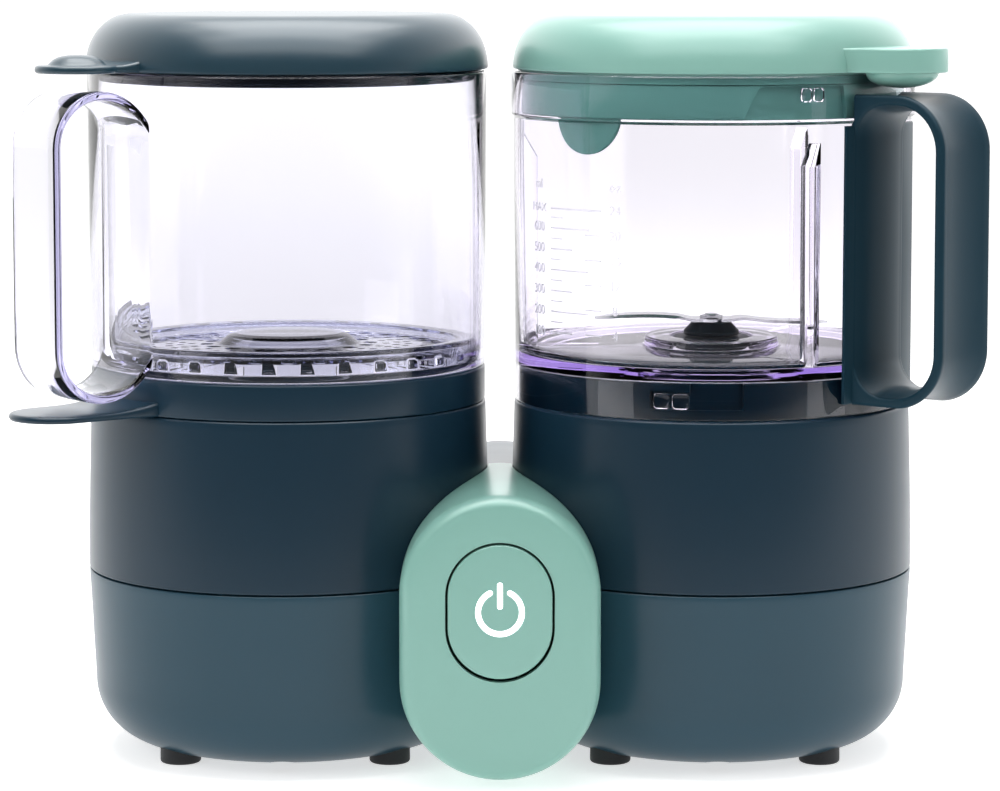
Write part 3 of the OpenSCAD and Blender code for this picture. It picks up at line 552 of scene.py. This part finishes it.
# clear bowl with its strap handle
bowl = lathe("clear_bowl", soften([(65.3, 134.8, 0.2), (68.8, 134.8, 0.5), (69.3, 236.9, 1.1), (67.1, 236.9, 0.9), (66.0, 141.5, 0.3), (66.0, 137.2, 0.2), (63.6, 137.2, 0.2), (63.6, 134.8, 0.2), (64.2, 134.8, 0.1),
                                   (64.2, 131.2, 0.3), (65.3, 131.2, 0.3)], 4), LEFT, 256)
def rrect(hw, hh, r, n=5):
    o = []
    for cx, cy, a in ((hw - r, hh - r, 0), (-hw + r, hh - r, 90), (-hw + r, -hh + r, 180), (hw - r, -hh + r, 270)):
        o += arc(cx, cy, r, r, a, a + 90, n)
    return o
def strap(name, path, width, thick, place, rad=0.8, wall=None, n=5):
    """Band swept along path, a list of (q, z, width scale, thickness scale, wall share)."""
    rings = []
    k = len(path)
    for i, (q, z, ws, ts, hug) in enumerate(path):
        a, b = path[max(0, i - 1)], path[min(k - 1, i + 1)]
        t = Vector((b[0] - a[0], b[1] - a[1])).normalized()
        nq, nz = -t.y, t.x
        ring = []
        for u, v in rrect(thick * ts / 2, width * ws / 2, min(rad, thick * ts / 2 * 0.95), n):
            dq = -(wall - sqrt(wall * wall - v * v)) * hug if wall else 0
            ring.append(place((q + nq * u + dq, v, z + nz * u)))
        rings.append(ring)
    return loft(name, rings)
def c_path(qc, zl, zh, R, q_wall, t, width_end=1.16):
    """C-shaped path that meets the wall tangentially above and below."""
    rm = R - t / 2
    phi = math.acos(min(1, (qc - q_wall) / rm))
    p = []
    n = 26
    up = [(qc - rm * cos(phi + (pi - phi) * i / n), zh + rm * sin(phi + (pi - phi) * i / n), i / n) for i in range(n + 1)]
    for i in (3, 2, 1): p.append((q_wall, up[0][1] - 1.2 * i, width_end, 0.52, 1.0))
    for q, z, s in up:
        e = max(0.0, 1 - s * 2.4)
        p.append((q, z, 1 + (width_end - 1) * e ** 2, 1 - 0.42 * e ** 2, e))
    m = 24
    p += [(qc + rm, zh + (zl - zh) * i / m, 1, 1, 0) for i in range(1, m)]
    for q, z, s in [(q, zl + zh - z, s) for q, z, s in up[::-1]]:
        e = max(0.0, 1 - s * 2.4)
        p.append((q, z, 1 + (width_end - 1) * e ** 2, 1 - 0.42 * e ** 2, e))
    z = p[-1][1]
    for i in (1, 2, 3): p.append((q_wall, z + 1.2 * i, width_end, 0.52, 1.0))
    return p
h = strap("tmp", c_path(85.0, 146.4, 213.0, 18.7, 68.1, 2.9), 27.0, 2.9, LG, 1.0, 69.3)
boolean(bowl, [h], "UNION", angle=34)
dress(bowl, M_CLEAR, "bowl", "clear_plastic", "steam_bowl", "bowl_handle")

grid = lathe("clear_grid", soften([(0, 146.6), (18.6, 146.8, 1.0), (20.8, 146.2, 0.8), (25.0, 143.2, 1.6), (57.0, 142.8, 1.0), (59.0, 145.0, 0.8), (64.9, 145.2, 0.4), (65.6, 144.8, 0.3), (65.6, 137.25, 0.3),
                                   (64.0, 137.25, 0.2), (64.0, 143.5, 0.4), (59.8, 143.3, 0.4), (57.8, 141.1, 0.8), (25.6, 141.4, 1.4), (20.2, 144.6, 1.0), (0, 144.8)], 3), LEFT, 224)
cut = []
def slot_cut(r0, r1, w, ang, z0_, z1_, n=4):
    a = math.radians(ang)
    o = soften([(r0, -w / 2, w * 0.49), (r1, -w / 2, w * 0.3), (r1, w / 2, w * 0.3), (r0, w / 2, w * 0.49)], n)
    return prism("tmp", [(-C + u * cos(a) - v * sin(a), u * sin(a) + v * cos(a)) for u, v in o], z0_, z1_)
for i in range(32):
    cut.append(slot_cut(46.5, 54.0, 4.4, 11.25 * i + 3, 139.1, 144.6))
    cut.append(slot_cut(62.2, 67.0, 3.4, 11.25 * i + 8.6, 138.4, 140.6))
for i in range(16): cut.append(slot_cut(26.2, 30.7, 5.2, 22.5 * i + 6, 139.1, 145.2))
for k in range(3):
    for i in range(18 + 6 * k):
        a = 2 * pi * (i + k / 2) / (18 + 6 * k)
        r = 34.0 + 3.9 * k
        cut.append(lathe("tmp", [(0, 139.1), (1.4, 139.1), (1.4, 145), (0, 145)], (-C + r * cos(a), r * sin(a)), 16))
cut = [join("tmp", cut)]
boolean(grid, cut, angle=34)
dress(grid, M_GRID, "bowl", "clear_plastic", "steam_grid")

# lids
def dome_prof(R, zb, rx, ry, crown=0.5):
    top = 257.0
    o = [(R - 0.7, zb), (R - 0.15, zb + 0.25), (R, zb + 0.9)]
    o += [(R - rx + rx * cos(pi / 2 * i / 22) ** 0.96, top - crown - ry + ry * sin(pi / 2 * i / 22) ** 0.96) for i in range(1, 23)]
    r1 = R - rx
    o += [(r1 * (1 - s), top - crown + crown * (1 - (1 - s) ** 2)) for s in (0.1, 0.25, 0.4, 0.55, 0.7, 0.85, 1.0)]
    return o
def lid_shell(name, R, at, skirt_in, skirt_out, skirt_z, inner):
    p = dome_prof(R, 237.4, 16.0, 19.0)
    # underside, from the middle back out to the rim, with the skirt ring below it
    u = [(0, 254.3)] + [(x, z) for x, z in arc(46.8, 238.6, 15.5, 15.7, 90, 0, 10)] + [(skirt_in, skirt_z + 0.6), (skirt_in + 0.5, skirt_z), (skirt_out - 0.5, skirt_z), (skirt_out, skirt_z + 0.5)] + inner
    return lathe(name, p + u, at, 256)

slid = lid_shell("steamer_lid_cap", 69.8, LEFT, 62.3, 64.4, 232.6, [(64.4, 237.2), (64.6, 237.4)])
tab = pad("tmp", tab_half(64.0, 67.5, 11.6, 86.0, 14.0, 18, 8.5), edge(1.0, 240.1) + [(3.6, 240.15)], edge(1.1, 237.5, -1), LG, lift(68.0, 78.0, 1.4, 2.0))
bump = lathe("tmp", [(0, 239.5), (10.2, 239.5), (10.2, 240.1), (9.6, 240.4), (8.9, 241.1), (7.9, 242.0), (6.6, 242.7), (5.0, 243.2), (3.0, 243.5), (1.2, 243.58), (0, 243.6)], (0, 0), 72,
             place=lambda v: LG((86 + v[0], v[1], v[2])))
boolean(slid, [tab, bump], "UNION", angle=34)
dress(slid, M_LID, "steamer_lid", "dark_gloss", "steamer_lid", "steamer_lid_tab")
sseal = lathe("steamer_lid_lip_seal", soften([(64.45, 233.1, 0.4), (66.2, 233.1, 0.5), (66.75, 234.0, 0.4), (65.8, 234.6, 0.3), (66.75, 235.4, 0.4), (65.8, 236.0, 0.3), (66.7, 236.8, 0.3), (64.45, 236.9, 0.2)], 3), LEFT, 224)
dress(sseal, M_SEAL, "steamer_lid", "black_rubber", "steamer_lid_seal")

# ------------------------------------------------------------------ blender
LUGS = [0, 120, 240]
base_c = lathe("blade_base_collar", soften([(66.6, 122.6, 0.5), (66.6, 134.8, 0.8), (20.2, 134.8, 0.8), (20, 137.2, 0.4), (13.9, 137.2, 0.3), (13.7, 141.9, 0.9), (5.5, 142.2, 0.3), (5.5, 131.8), (9, 131.8, 0.2), (9.6, 132.3, 0.2),
                                            (62.6, 132.3, 1.0), (62.6, 122.6, 0.4)], 4), RIGHT, 224)
cut = []
for k in LUGS:
    cut.append(lathe("tmp", soften([(64.6, 125.9, 0.5), (70, 125.9), (70, 131.9), (64.6, 131.9, 0.5)], 3), RIGHT, 360, -111 + k, -84 + k))
    cut.append(lathe("tmp", [(64.5, 129), (70, 129), (70, 136), (64.5, 136)], RIGHT, 360, -99.4 + k, -84.1 + k))
boolean(base_c, cut, angle=30)
dress(base_c, M_COLLAR, "blade_base", "dark_plastic", "blade_base")

def lug(r0, r1, a0, a1, z0_, z1_, name="tmp"):
    """Double-lobed bayonet lug on the inside of a wall: two rounded pads side by side."""
    obs = []
    am = (a0 + a1) / 2
    for b0, b1 in ((a0, am - 0.25), (am + 0.25, a1)):
        R = (r0 + r1) / 2
        w = math.radians(b1 - b0) * R / 2; hh = (z1_ - z0_) / 2
        o = rrect(w, hh, min(w, hh) * 0.55, 6)
        c = (b0 + b1) / 2
        rings = []
        for ins, r in ((0.0, r1), (0.0, r0 + 0.5), (0.15, r0 + 0.15), (0.5, r0)):
            ring = []
            for u, v in inset(o, ins):
                a = math.radians(c) + u / R
                ring.append((C + r * cos(a), r * sin(a), (z0_ + z1_) / 2 + v))
            rings.append(ring)
        obs.append(loft("tmp", rings))
    return obs
jug = lathe("clear_jug", soften([(67, 122.5, 0.4), (68.9, 122.5, 0.5), (68.8, 135, 0.5), (69.2, 220.8, 0.4), (70.1, 221.8, 0.4), (70.1, 236.9, 0.9), (67.4, 236.9, 0.9), (67.4, 222.2, 0.5), (66.8, 221.2, 0.5), (66.3, 139.0, 4.5), (23.6, 139.0, 1.0),
                                 (23.3, 142.5, 0.8), (14.5, 142.5, 0.5), (14.5, 139.3, 0.1), (22, 139.3, 0.3), (22, 135.3, 0.4), (67, 135.3, 0.4)], 5), RIGHT, 256)
add = []
for k in LUGS:
    add += lug(65.7, 68.0, -110 + k, -99.5 + k, 126.2, 131.3)
    add += lug(65.7, 68.4, -67.6 + k, -60.4 + k, 228.2, 232.7)
    a = math.radians(-63 + k)
    w = 2.2
    o = soften([(67.6, 138.0), (61.6, 138.0), (61.2, 206.5, 0.6), (66.0, 214.5, 0.3), (67.6, 214.5)], 4)
    v = [(q, -w, z) for q, z in o] + [(q, w, z) for q, z in o]
    n_ = len(o)
    f = [[i, (i + 1) % n_, n_ + (i + 1) % n_, n_ + i] for i in range(n_)] + [list(range(n_))[::-1], list(range(n_, 2 * n_))]
    pl = turned(RIGHT, a)
    rib = make("tmp", [pl(p) for p in v], f)
    bv = rib.modifiers.new("v", "BEVEL"); bv.width = 0.0004; bv.segments = 2; bv.limit_method = "ANGLE"; bv.angle_limit = math.radians(40)
    evaluated(rib)
    add.append(rib)
boolean(jug, add, "UNION", angle=34)
dress(jug, M_JUG, "jug", "clear_plastic", "jug")

# raised volume scale, wrapped on the outer wall
def wrapped_text(s, size, theta, z, depth=0.26, R=69.05):
    cu = bpy.data.curves.new("t", "FONT"); cu.body = s; cu.size = size; cu.align_x = "CENTER"; cu.align_y = "CENTER"; cu.extrude = depth / 2
    ob = bpy.data.objects.new("t", cu); bpy.context.scene.collection.objects.link(ob)
    dg = bpy.context.evaluated_depsgraph_get(); dg.update()
    me = bpy.data.meshes.new_from_object(ob.evaluated_get(dg), depsgraph=dg)
    bpy.data.objects.remove(ob); bpy.data.curves.remove(cu)
    bm = bmesh.new(); bm.from_mesh(me); bmesh.ops.remove_doubles(bm, verts=bm.verts, dist=1e-4); bm.to_mesh(me); bm.free()
    for v in me.vertices:
        a = math.radians(-90 + theta) + v.co.x / R
        r = R + 0.02 + depth / 2 + v.co.z + (z + v.co.y - 178) * 0.0046
        v.co = (MM * (C + r * cos(a)), MM * r * sin(a), MM * (z + v.co.y))
    o = bpy.data.objects.new("t", me); bpy.context.scene.collection.objects.link(o)
    return o
def tick(theta0, theta1, z, h=0.55, depth=0.26, R=69.05):
    rings = []
    for i in range(9):
        a = math.radians(-90 + theta0 + (theta1 - theta0) * i / 8)
        r0 = R + 0.02 + (z - 178) * 0.0046
        rings.append([(C + r * cos(a), r * sin(a), z + dz) for r, dz in ((r0, -h / 2), (r0 + depth, -h / 2), (r0 + depth, h / 2), (r0, h / 2))])
    return loft("tmp", rings)
marks = []
for i in range(1, 7):
    z = 149.4 + 7.1 * (i - 1)
    marks.append(wrapped_text(str(100 * i), 4.6, -61.0, z))
    marks.append(tick(-55, -46 if i % 2 else -40, z))
    marks.append(tick(-55, -50, z + 3.55, 0.4))
marks.append(wrapped_text("MAX", 4.2, -61.0, 191.5)); marks.append(tick(-55, -38, 191.5))
marks.append(wrapped_text("ml", 4.6, -61.0, 199.5)); marks.append(wrapped_text("oz", 4.6, -31.0, 199.5))
for i in range(1, 7):
    z = 141.2 + 8.4 * i
    marks.append(wrapped_text(str(4 * i), 4.4, -31.0, z)); marks.append(tick(-41, -35.5, z))
scale = join("volume_scale", marks, 40)
dress(scale, M_SCALE, "jug", "clear_plastic")

# dark handle of the jug: a closed band with a plate against the wall
def loop_outline(q0, q1, z0_, z1_, r_in, r_out, n=14):
    """Loop outline: small corners towards the jug, large ones outside. Counter-clockwise in (q, z)."""
    o = arc(q1 - r_out, z0_ + r_out, r_out, r_out, -90, 0, n) + arc(q1 - r_out, z1_ - r_out, r_out, r_out, 0, 90, n)
    o += arc(q0 + r_in, z1_ - r_in, r_in, r_in, 90, 180, max(3, n // 2)) + arc(q0 + r_in, z0_ + r_in, r_in, r_in, 180, 270, max(3, n // 2))
    return o
def dense(o, step=3.0):
    out = []
    k = len(o)
    for i in range(k):
        a, b = Vector(o[i]), Vector(o[(i + 1) % k])
        m = max(1, int((b - a).length / step))
        for j in range(m): out.append(tuple(a + (b - a) * j / m))
    return out
WAIST = 2.3
def waist(t, half):
    """How far the band draws in towards the loop's middle, t from its centre line."""
    return WAIST * (1 - (t / half) ** 2)
def band_solid(outline, half, r, place, n=5):
    """Outline in (q, z) swept sideways by +-half with rounded edges of radius r and a drawn-in middle."""
    o = dense(outline)
    prof = [(r - r * sin(pi / 2 * i / n), -half + r - r * cos(pi / 2 * i / n)) for i in range(n + 1)]
    prof = prof + [(waist(t, half - r), t) for t in [(-half + r) + (2 * half - 2 * r) * j / 12 for j in range(1, 12)]] + [(d, -t) for d, t in prof[::-1]]
    rings = [[place((q, t, z)) for q, z in inset(o, d)] for d, t in prof]
    return loft("tmp", rings)
outer = loop_outline(64.5, 103.7, 126.3, 230.5, 4.0, 18.7, 20)
hand = band_solid(outer, 15.0, 1.3, RG)
hole_o = loop_outline(69.2, 100.2, 129.7, 227.1, 11.8, 15.2, 20)
# the opening, flared at both faces so that the band's inner edges are rounded
def band_hole(outline, half, r, place, n=5):
    o = dense(outline)
    prof = [(-r - 0.5, -half - 0.5), (-r, -half - 0.001)] + [(-(r - r * sin(pi / 2 * i / n)), -half + (r - r * cos(pi / 2 * i / n))) for i in range(1, n + 1)]
    prof = prof + [(waist(t, half - r), t) for t in [(-half + r) + (2 * half - 2 * r) * j / 12 for j in range(1, 12)]] + [(d, -t) for d, t in prof[::-1]]
    return loft("tmp", [[place((q, t, z)) for q, z in inset(o, d)] for d, t in prof])
boolean(hand, [band_hole(hole_o, 15.0, 1.2, RG)], angle=34)
jr = [(0, 100), (69.12, 100), (69.07, 135.2), (69.42, 220.5), (70.3, 221.6), (70.3, 260), (0, 260)]
boolean(hand, [lathe("tmp", jr, RIGHT, 224)], angle=34)
# the plate that wraps the jug's wall on both sides of the loop
_o, _a = RG((0, 0, 0)), RG((10, 0, 0))
_dir = math.degrees(math.atan2(_a[1] - _o[1], _a[0] - _o[0]))
wrap = lathe("tmp", soften([(69.14, 126.6), (70.5, 126.6, 0.5), (70.5, 220.0, 0.5), (69.44, 220.0)], 3), RIGHT, 360, _dir - 15.2, _dir + 22.5)
boolean(hand, [wrap], "UNION", angle=34)
hand.name = "jug_loop_handle"
dress(hand, M_HANDLE, "jug", "dark_plastic", "jug_handle")

# blender lid
def skirted_lid():
    p = dome_prof(69.5, 237.4, 16.0, 19.0)
    u = [(0, 254.3)] + arc(46.8, 238.6, 15.5, 15.7, 90, 0, 10) + soften([(62.4, 230), (62.6, 222.3, 0.6), (66.6, 222.3, 0.7), (66.6, 233.8, 0.3), (65.1, 233.8, 0.2), (65.1, 236.4, 0.2), (66.9, 236.4, 0.2), (66.9, 237.35), (68, 237.4)], 3)
    return lathe("blender_lid_cap", p + u, RIGHT, 256)
blid = skirted_lid()
cut = []
for k in LUGS:
    # recess for the jug's lug with a slanted lead-in at its right end
    rings = []
    for r in (65.0, 70.0):
        ring = [(C + r * cos(math.radians(th + k)), r * sin(math.radians(th + k)), z) for th, z in
                [(-80.3 - 4.8 * (1 - s), 221.5 + 11.2 * s) for s in (0, 0.25, 0.5, 0.75, 1.0)] + [(-80.3 + 27.0 * s, 233.3) for s in (0.08, 0.25, 0.5, 0.75, 1.0)] + [(-53.3 + 1.5 * s, 233.3 - 11.8 * s) for s in (0.33, 0.66, 1.0)]
                + [(-51.8 - 33.3 * s, 221.5) for s in (0.25, 0.5, 0.75)]]
        rings.append(ring)
    cut.append(loft("tmp", rings))
boolean(blid, cut, angle=30)
flap_o = [(14 * cos(pi + pi * i / 30), 14 * sin(pi + pi * i / 30)) for i in range(31)]
flap_o = flap_o + [(14, 1.2), (-14, 1.2)]
rings = []
for ins, r in ((0.5, 64.6), (0.12, 64.5), (0.0, 64.2), (0.0, 63.3), (0.12, 63.0), (0.5, 62.9)):
    rings.append([(C + r * cos(math.radians(-134) + x / 64), r * sin(math.radians(-134) + x / 64), 224 + z) for x, z in inset(flap_o, ins)])
flap = loft("tmp", rings)
tab = pad("tmp", tab_half(62.0, 65.5, 18.0, 77.0, 16.0), edge(0.7, 245.8) + [(4, 245.85), (10, 245.9)], edge(0.8, 237.6, -1), RG)
bulge = lathe("tmp", [(0, 238.6), (12.6, 238.6), (12.5, 237.4)] + arc(0, 237.4, 12.4, 5.0, 0, -90, 12)[1:-1] + [(0, 232.4)], (0, 0), 72, place=lambda v: RG((77.5 + v[0], v[1], v[2])))
boolean(bulge, [lathe("tmp", [(0, 225), (70.45, 225), (70.45, 238.0), (0, 238.0)], RIGHT, 160)])
boolean(blid, [flap, tab, bulge], "UNION", angle=34)
dress(blid, M_MINT, "blender_lid", "mint_plastic", "blender_lid", "blender_lid_tab")
# Skirt faces below the rim take the darker green copy: painted shade where the skirt lies in shadow under the lid.
blid.data.materials.append(M_SKIRT_PAINTED_SHADE)
_k = 1.0 if max(v.co.z for v in blid.data.vertices) > 10 else 1000.0
for f in blid.data.polygons:
    c = f.center * _k
    if c.z < 236.9 and math.hypot(c.x - C, c.y) < 67.0: f.material_index = 1

# blade set
hub = lathe("cone_hub", soften([(2.6, 142.7), (9.9, 142.7, 0.5), (9.6, 144.2, 0.4), (7.0, 147.0, 0.6), (5.6, 147.6, 0.4), (2.6, 147.6)], 4), RIGHT, 96)
dress(hub, M_BLACK, "blade_rotor", "black_plastic", "blade_hub")
def blade(sign, zs, name):
    """One blade: flat at the hub, bent up or down, ground to an edge along one side."""
    rings = []
    n = 40
    f = pchip([z[0] for z in zs], [z[1] for z in zs])
    for i in range(n + 1):
        r = 2.55 + (40.9 - 2.55) * i / n
        lead = pchip([2.5, 8, 20, 32, 39, 41], [5.0, 4.9, 3.8, 3.3, 2.6, 1.6])(r)
        trail = pchip([2.5, 8, 20, 32, 39, 41], [-5.0, -5.0, -6.4, -5.6, -2.4, 0.6])(r)
        z = f(r); t = 1.05 if r < 34 else 1.05 - 0.35 * (r - 34) / 7
        g = 0 if r < 10 else min(1, (r - 10) / 3)
        bev = 1.9 * g
        e = t * (1 - 0.85 * g)
        pts = [(trail, 0), (lead - bev, 0), (lead, 0), (lead, e), (lead - bev, t), (trail, t)]
        rings.append([(C + sign * r, sign * y, z + dz) for y, dz in pts])
    return loft(name, rings, angle=20)
b1 = blade(-1, [(2.5, 147.6), (6, 147.6), (12, 148.6), (22, 149.0), (41, 148.4)], "tmp")
b2 = blade(1, [(2.5, 147.6), (6, 147.6), (11, 148.2), (19, 147.5), (41, 146.7)], "tmp")
core = lathe("tmp", [(2.55, 147.62), (6.0, 147.62), (6.0, 148.62), (2.55, 148.62)], RIGHT, 64)
bl = join("blade_pair", [b1, b2, core], 20)
dress(bl, M_BLADE, "blade_rotor", "steel", "blades")

# ------------------------------------------------------------------ stage, light, camera
scene = bpy.context.scene
floor_me = bpy.data.meshes.new("floor")
S = 14.0
floor_me.from_pydata([(-S, -S, 0), (S, -S, 0), (S, S, 0), (-S, S, 0)], [], [[0, 1, 2, 3]])
floor = bpy.data.objects.new("floor", floor_me); scene.collection.objects.link(floor)
fm = bpy.data.materials.new("pale_floor"); fm.use_nodes = True
fn, fl = fm.node_tree.nodes, fm.node_tree.links
fb = fn["Principled BSDF"]; fb.inputs["Roughness"].default_value = 0.65; fb.inputs["Specular IOR Level"].default_value = 0.1
fc = fn.new("ShaderNodeTexCoord"); fsep = fn.new("ShaderNodeSeparateXYZ"); fl.new(fc.outputs["Object"], fsep.inputs[0])
# the lit table ends a little way in front of the machine; only reflections see the dark room beyond it
fy = fn.new("ShaderNodeMapRange"); fy.interpolation_type = "SMOOTHSTEP"
fy.inputs["From Min"].default_value, fy.inputs["From Max"].default_value = -0.62, -0.26
fy.inputs["To Min"].default_value, fy.inputs["To Max"].default_value = 0.02, 1.0
fl.new(fsep.outputs["Y"], fy.inputs["Value"])
fp = fn.new("ShaderNodeLightPath")
fg = fn.new("ShaderNodeMix"); fg.data_type = "FLOAT"; fg.inputs["A"].default_value = 1.0
fl.new(fp.outputs["Is Glossy Ray"], fg.inputs["Factor"]); fl.new(fy.outputs["Result"], fg.inputs["B"])
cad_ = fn.new("ShaderNodeMix"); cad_.data_type = "RGBA"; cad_.inputs[6].default_value = (0.0, 0.0, 0.0, 1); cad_.inputs[7].default_value = (0.80, 0.80, 0.80, 1)
fl.new(fg.outputs["Result"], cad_.inputs["Factor"]); fl.new(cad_.outputs[2], fb.inputs["Base Color"])
fb.inputs["Emission Color"].default_value = (1, 1, 1, 1)
fe = fn.new("ShaderNodeMath"); fe.operation = "MULTIPLY"; fe.inputs[1].default_value = 0.62
fl.new(fg.outputs["Result"], fe.inputs[0]); fl.new(fe.outputs[0], fb.inputs["Emission Strength"])
floor_me.materials.append(fm)

w = bpy.data.worlds.new("studio"); scene.world = w; w.use_nodes = True
wn, wl = w.node_tree.nodes, w.node_tree.links
bg = wn["Background"]; bg.inputs["Color"].default_value = (1, 1, 1, 1)
lp = wn.new("ShaderNodeLightPath")
tcw = wn.new("ShaderNodeTexCoord"); sep = wn.new("ShaderNodeSeparateXYZ"); wl.new(tcw.outputs["Generated"], sep.inputs[0])
# reflections see a dark studio in front and a bright one to the sides, behind and above
front = wn.new("ShaderNodeMapRange"); front.interpolation_type = "SMOOTHSTEP"
front.inputs["From Min"].default_value, front.inputs["From Max"].default_value = -0.70, 0.65
front.inputs["To Min"].default_value, front.inputs["To Max"].default_value = 0.015, 2.1
wl.new(sep.outputs["Y"], front.inputs["Value"])
inside = wn.new("ShaderNodeMapRange"); inside.interpolation_type = "SMOOTHSTEP"
inside.inputs["From Min"].default_value, inside.inputs["From Max"].default_value = -0.98, -0.35
inside.inputs["To Min"].default_value, inside.inputs["To Max"].default_value = 0.03, 1.05
wl.new(sep.outputs["Y"], inside.inputs["Value"])
through = wn.new("ShaderNodeMath"); through.operation = "GREATER_THAN"; through.inputs[1].default_value = 0.5
wl.new(lp.outputs["Transmission Depth"], through.inputs[0])
room = wn.new("ShaderNodeMix"); room.data_type = "FLOAT"
wl.new(through.outputs[0], room.inputs["Factor"]); wl.new(front.outputs["Result"], room.inputs["A"]); wl.new(inside.outputs["Result"], room.inputs["B"])
diffuse = wn.new("ShaderNodeMix"); diffuse.data_type = "FLOAT"
wl.new(lp.outputs["Is Diffuse Ray"], diffuse.inputs["Factor"]); wl.new(room.outputs["Result"], diffuse.inputs["A"]); diffuse.inputs["B"].default_value = 0.45
# straight through clear plastic the backdrop stays white; after a reflection it is the studio again
def below(name):
    m = wn.new("ShaderNodeMath"); m.operation = "LESS_THAN"; m.inputs[1].default_value = 0.5
    wl.new(lp.outputs[name], m.inputs[0]); return m
g1, g2 = below("Glossy Depth"), below("Diffuse Depth")
gg = wn.new("ShaderNodeMath"); gg.operation = "MULTIPLY"; wl.new(g1.outputs[0], gg.inputs[0]); wl.new(g2.outputs[0], gg.inputs[1])
mix = wn.new("ShaderNodeMix"); mix.data_type = "FLOAT"
wl.new(gg.outputs[0], mix.inputs["Factor"]); wl.new(diffuse.outputs["Result"], mix.inputs["A"]); mix.inputs["B"].default_value = 1.06
wl.new(mix.outputs["Result"], bg.inputs["Strength"])

def area(name, loc, target, size, power, col=(1, 1, 1)):
    li = bpy.data.lights.new(name, "AREA"); li.shape = "RECTANGLE"; li.size, li.size_y = size; li.energy = power; li.color = col
    ob = bpy.data.objects.new(name, li); scene.collection.objects.link(ob)
    ob.location = loc
    ob.rotation_mode = "QUATERNION"
    ob.rotation_quaternion = (Vector(target) - Vector(loc)).to_track_quat("-Z", "Y")
    return ob
for lamp in (area("key_left", (-1.25, -0.75, 0.75), (0, 0, 0.12), (0.7, 1.1), 6), area("fill_right", (1.35, -0.55, 0.6), (0, 0, 0.12), (0.7, 1.1), 4.5)):
    lamp.visible_glossy = False
for lamp in (area("sheen", (0.0, -0.62, 1.05), (0, 0, 0.25), (1.7, 0.75), 17), area("sheen_top", (0.0, -0.10, 1.30), (0, 0, 0.2), (1.7, 0.9), 15)):
    lamp.visible_diffuse = False
area("top", (0.0, 0.12, 1.25), (0, 0, 0.2), (1.0, 1.0), 17)

cam = bpy.data.cameras.new("camera"); cam.lens = 129.67; cam.sensor_width = 36.0; cam.sensor_fit = "HORIZONTAL"
cam.shift_x = 0.0; cam.shift_y = -0.100; cam.clip_start = 0.05; cam.clip_end = 60
co = bpy.data.objects.new("camera", cam); scene.collection.objects.link(co)
co.location = (0, -1.255, 0.2773)
co.rotation_euler = (math.radians(90 - 5.43), 0, 0)
scene.camera = co
scene.view_settings.view_transform = "Standard"
scene.view_settings.look = "None"

bpy.context.view_layer.update()
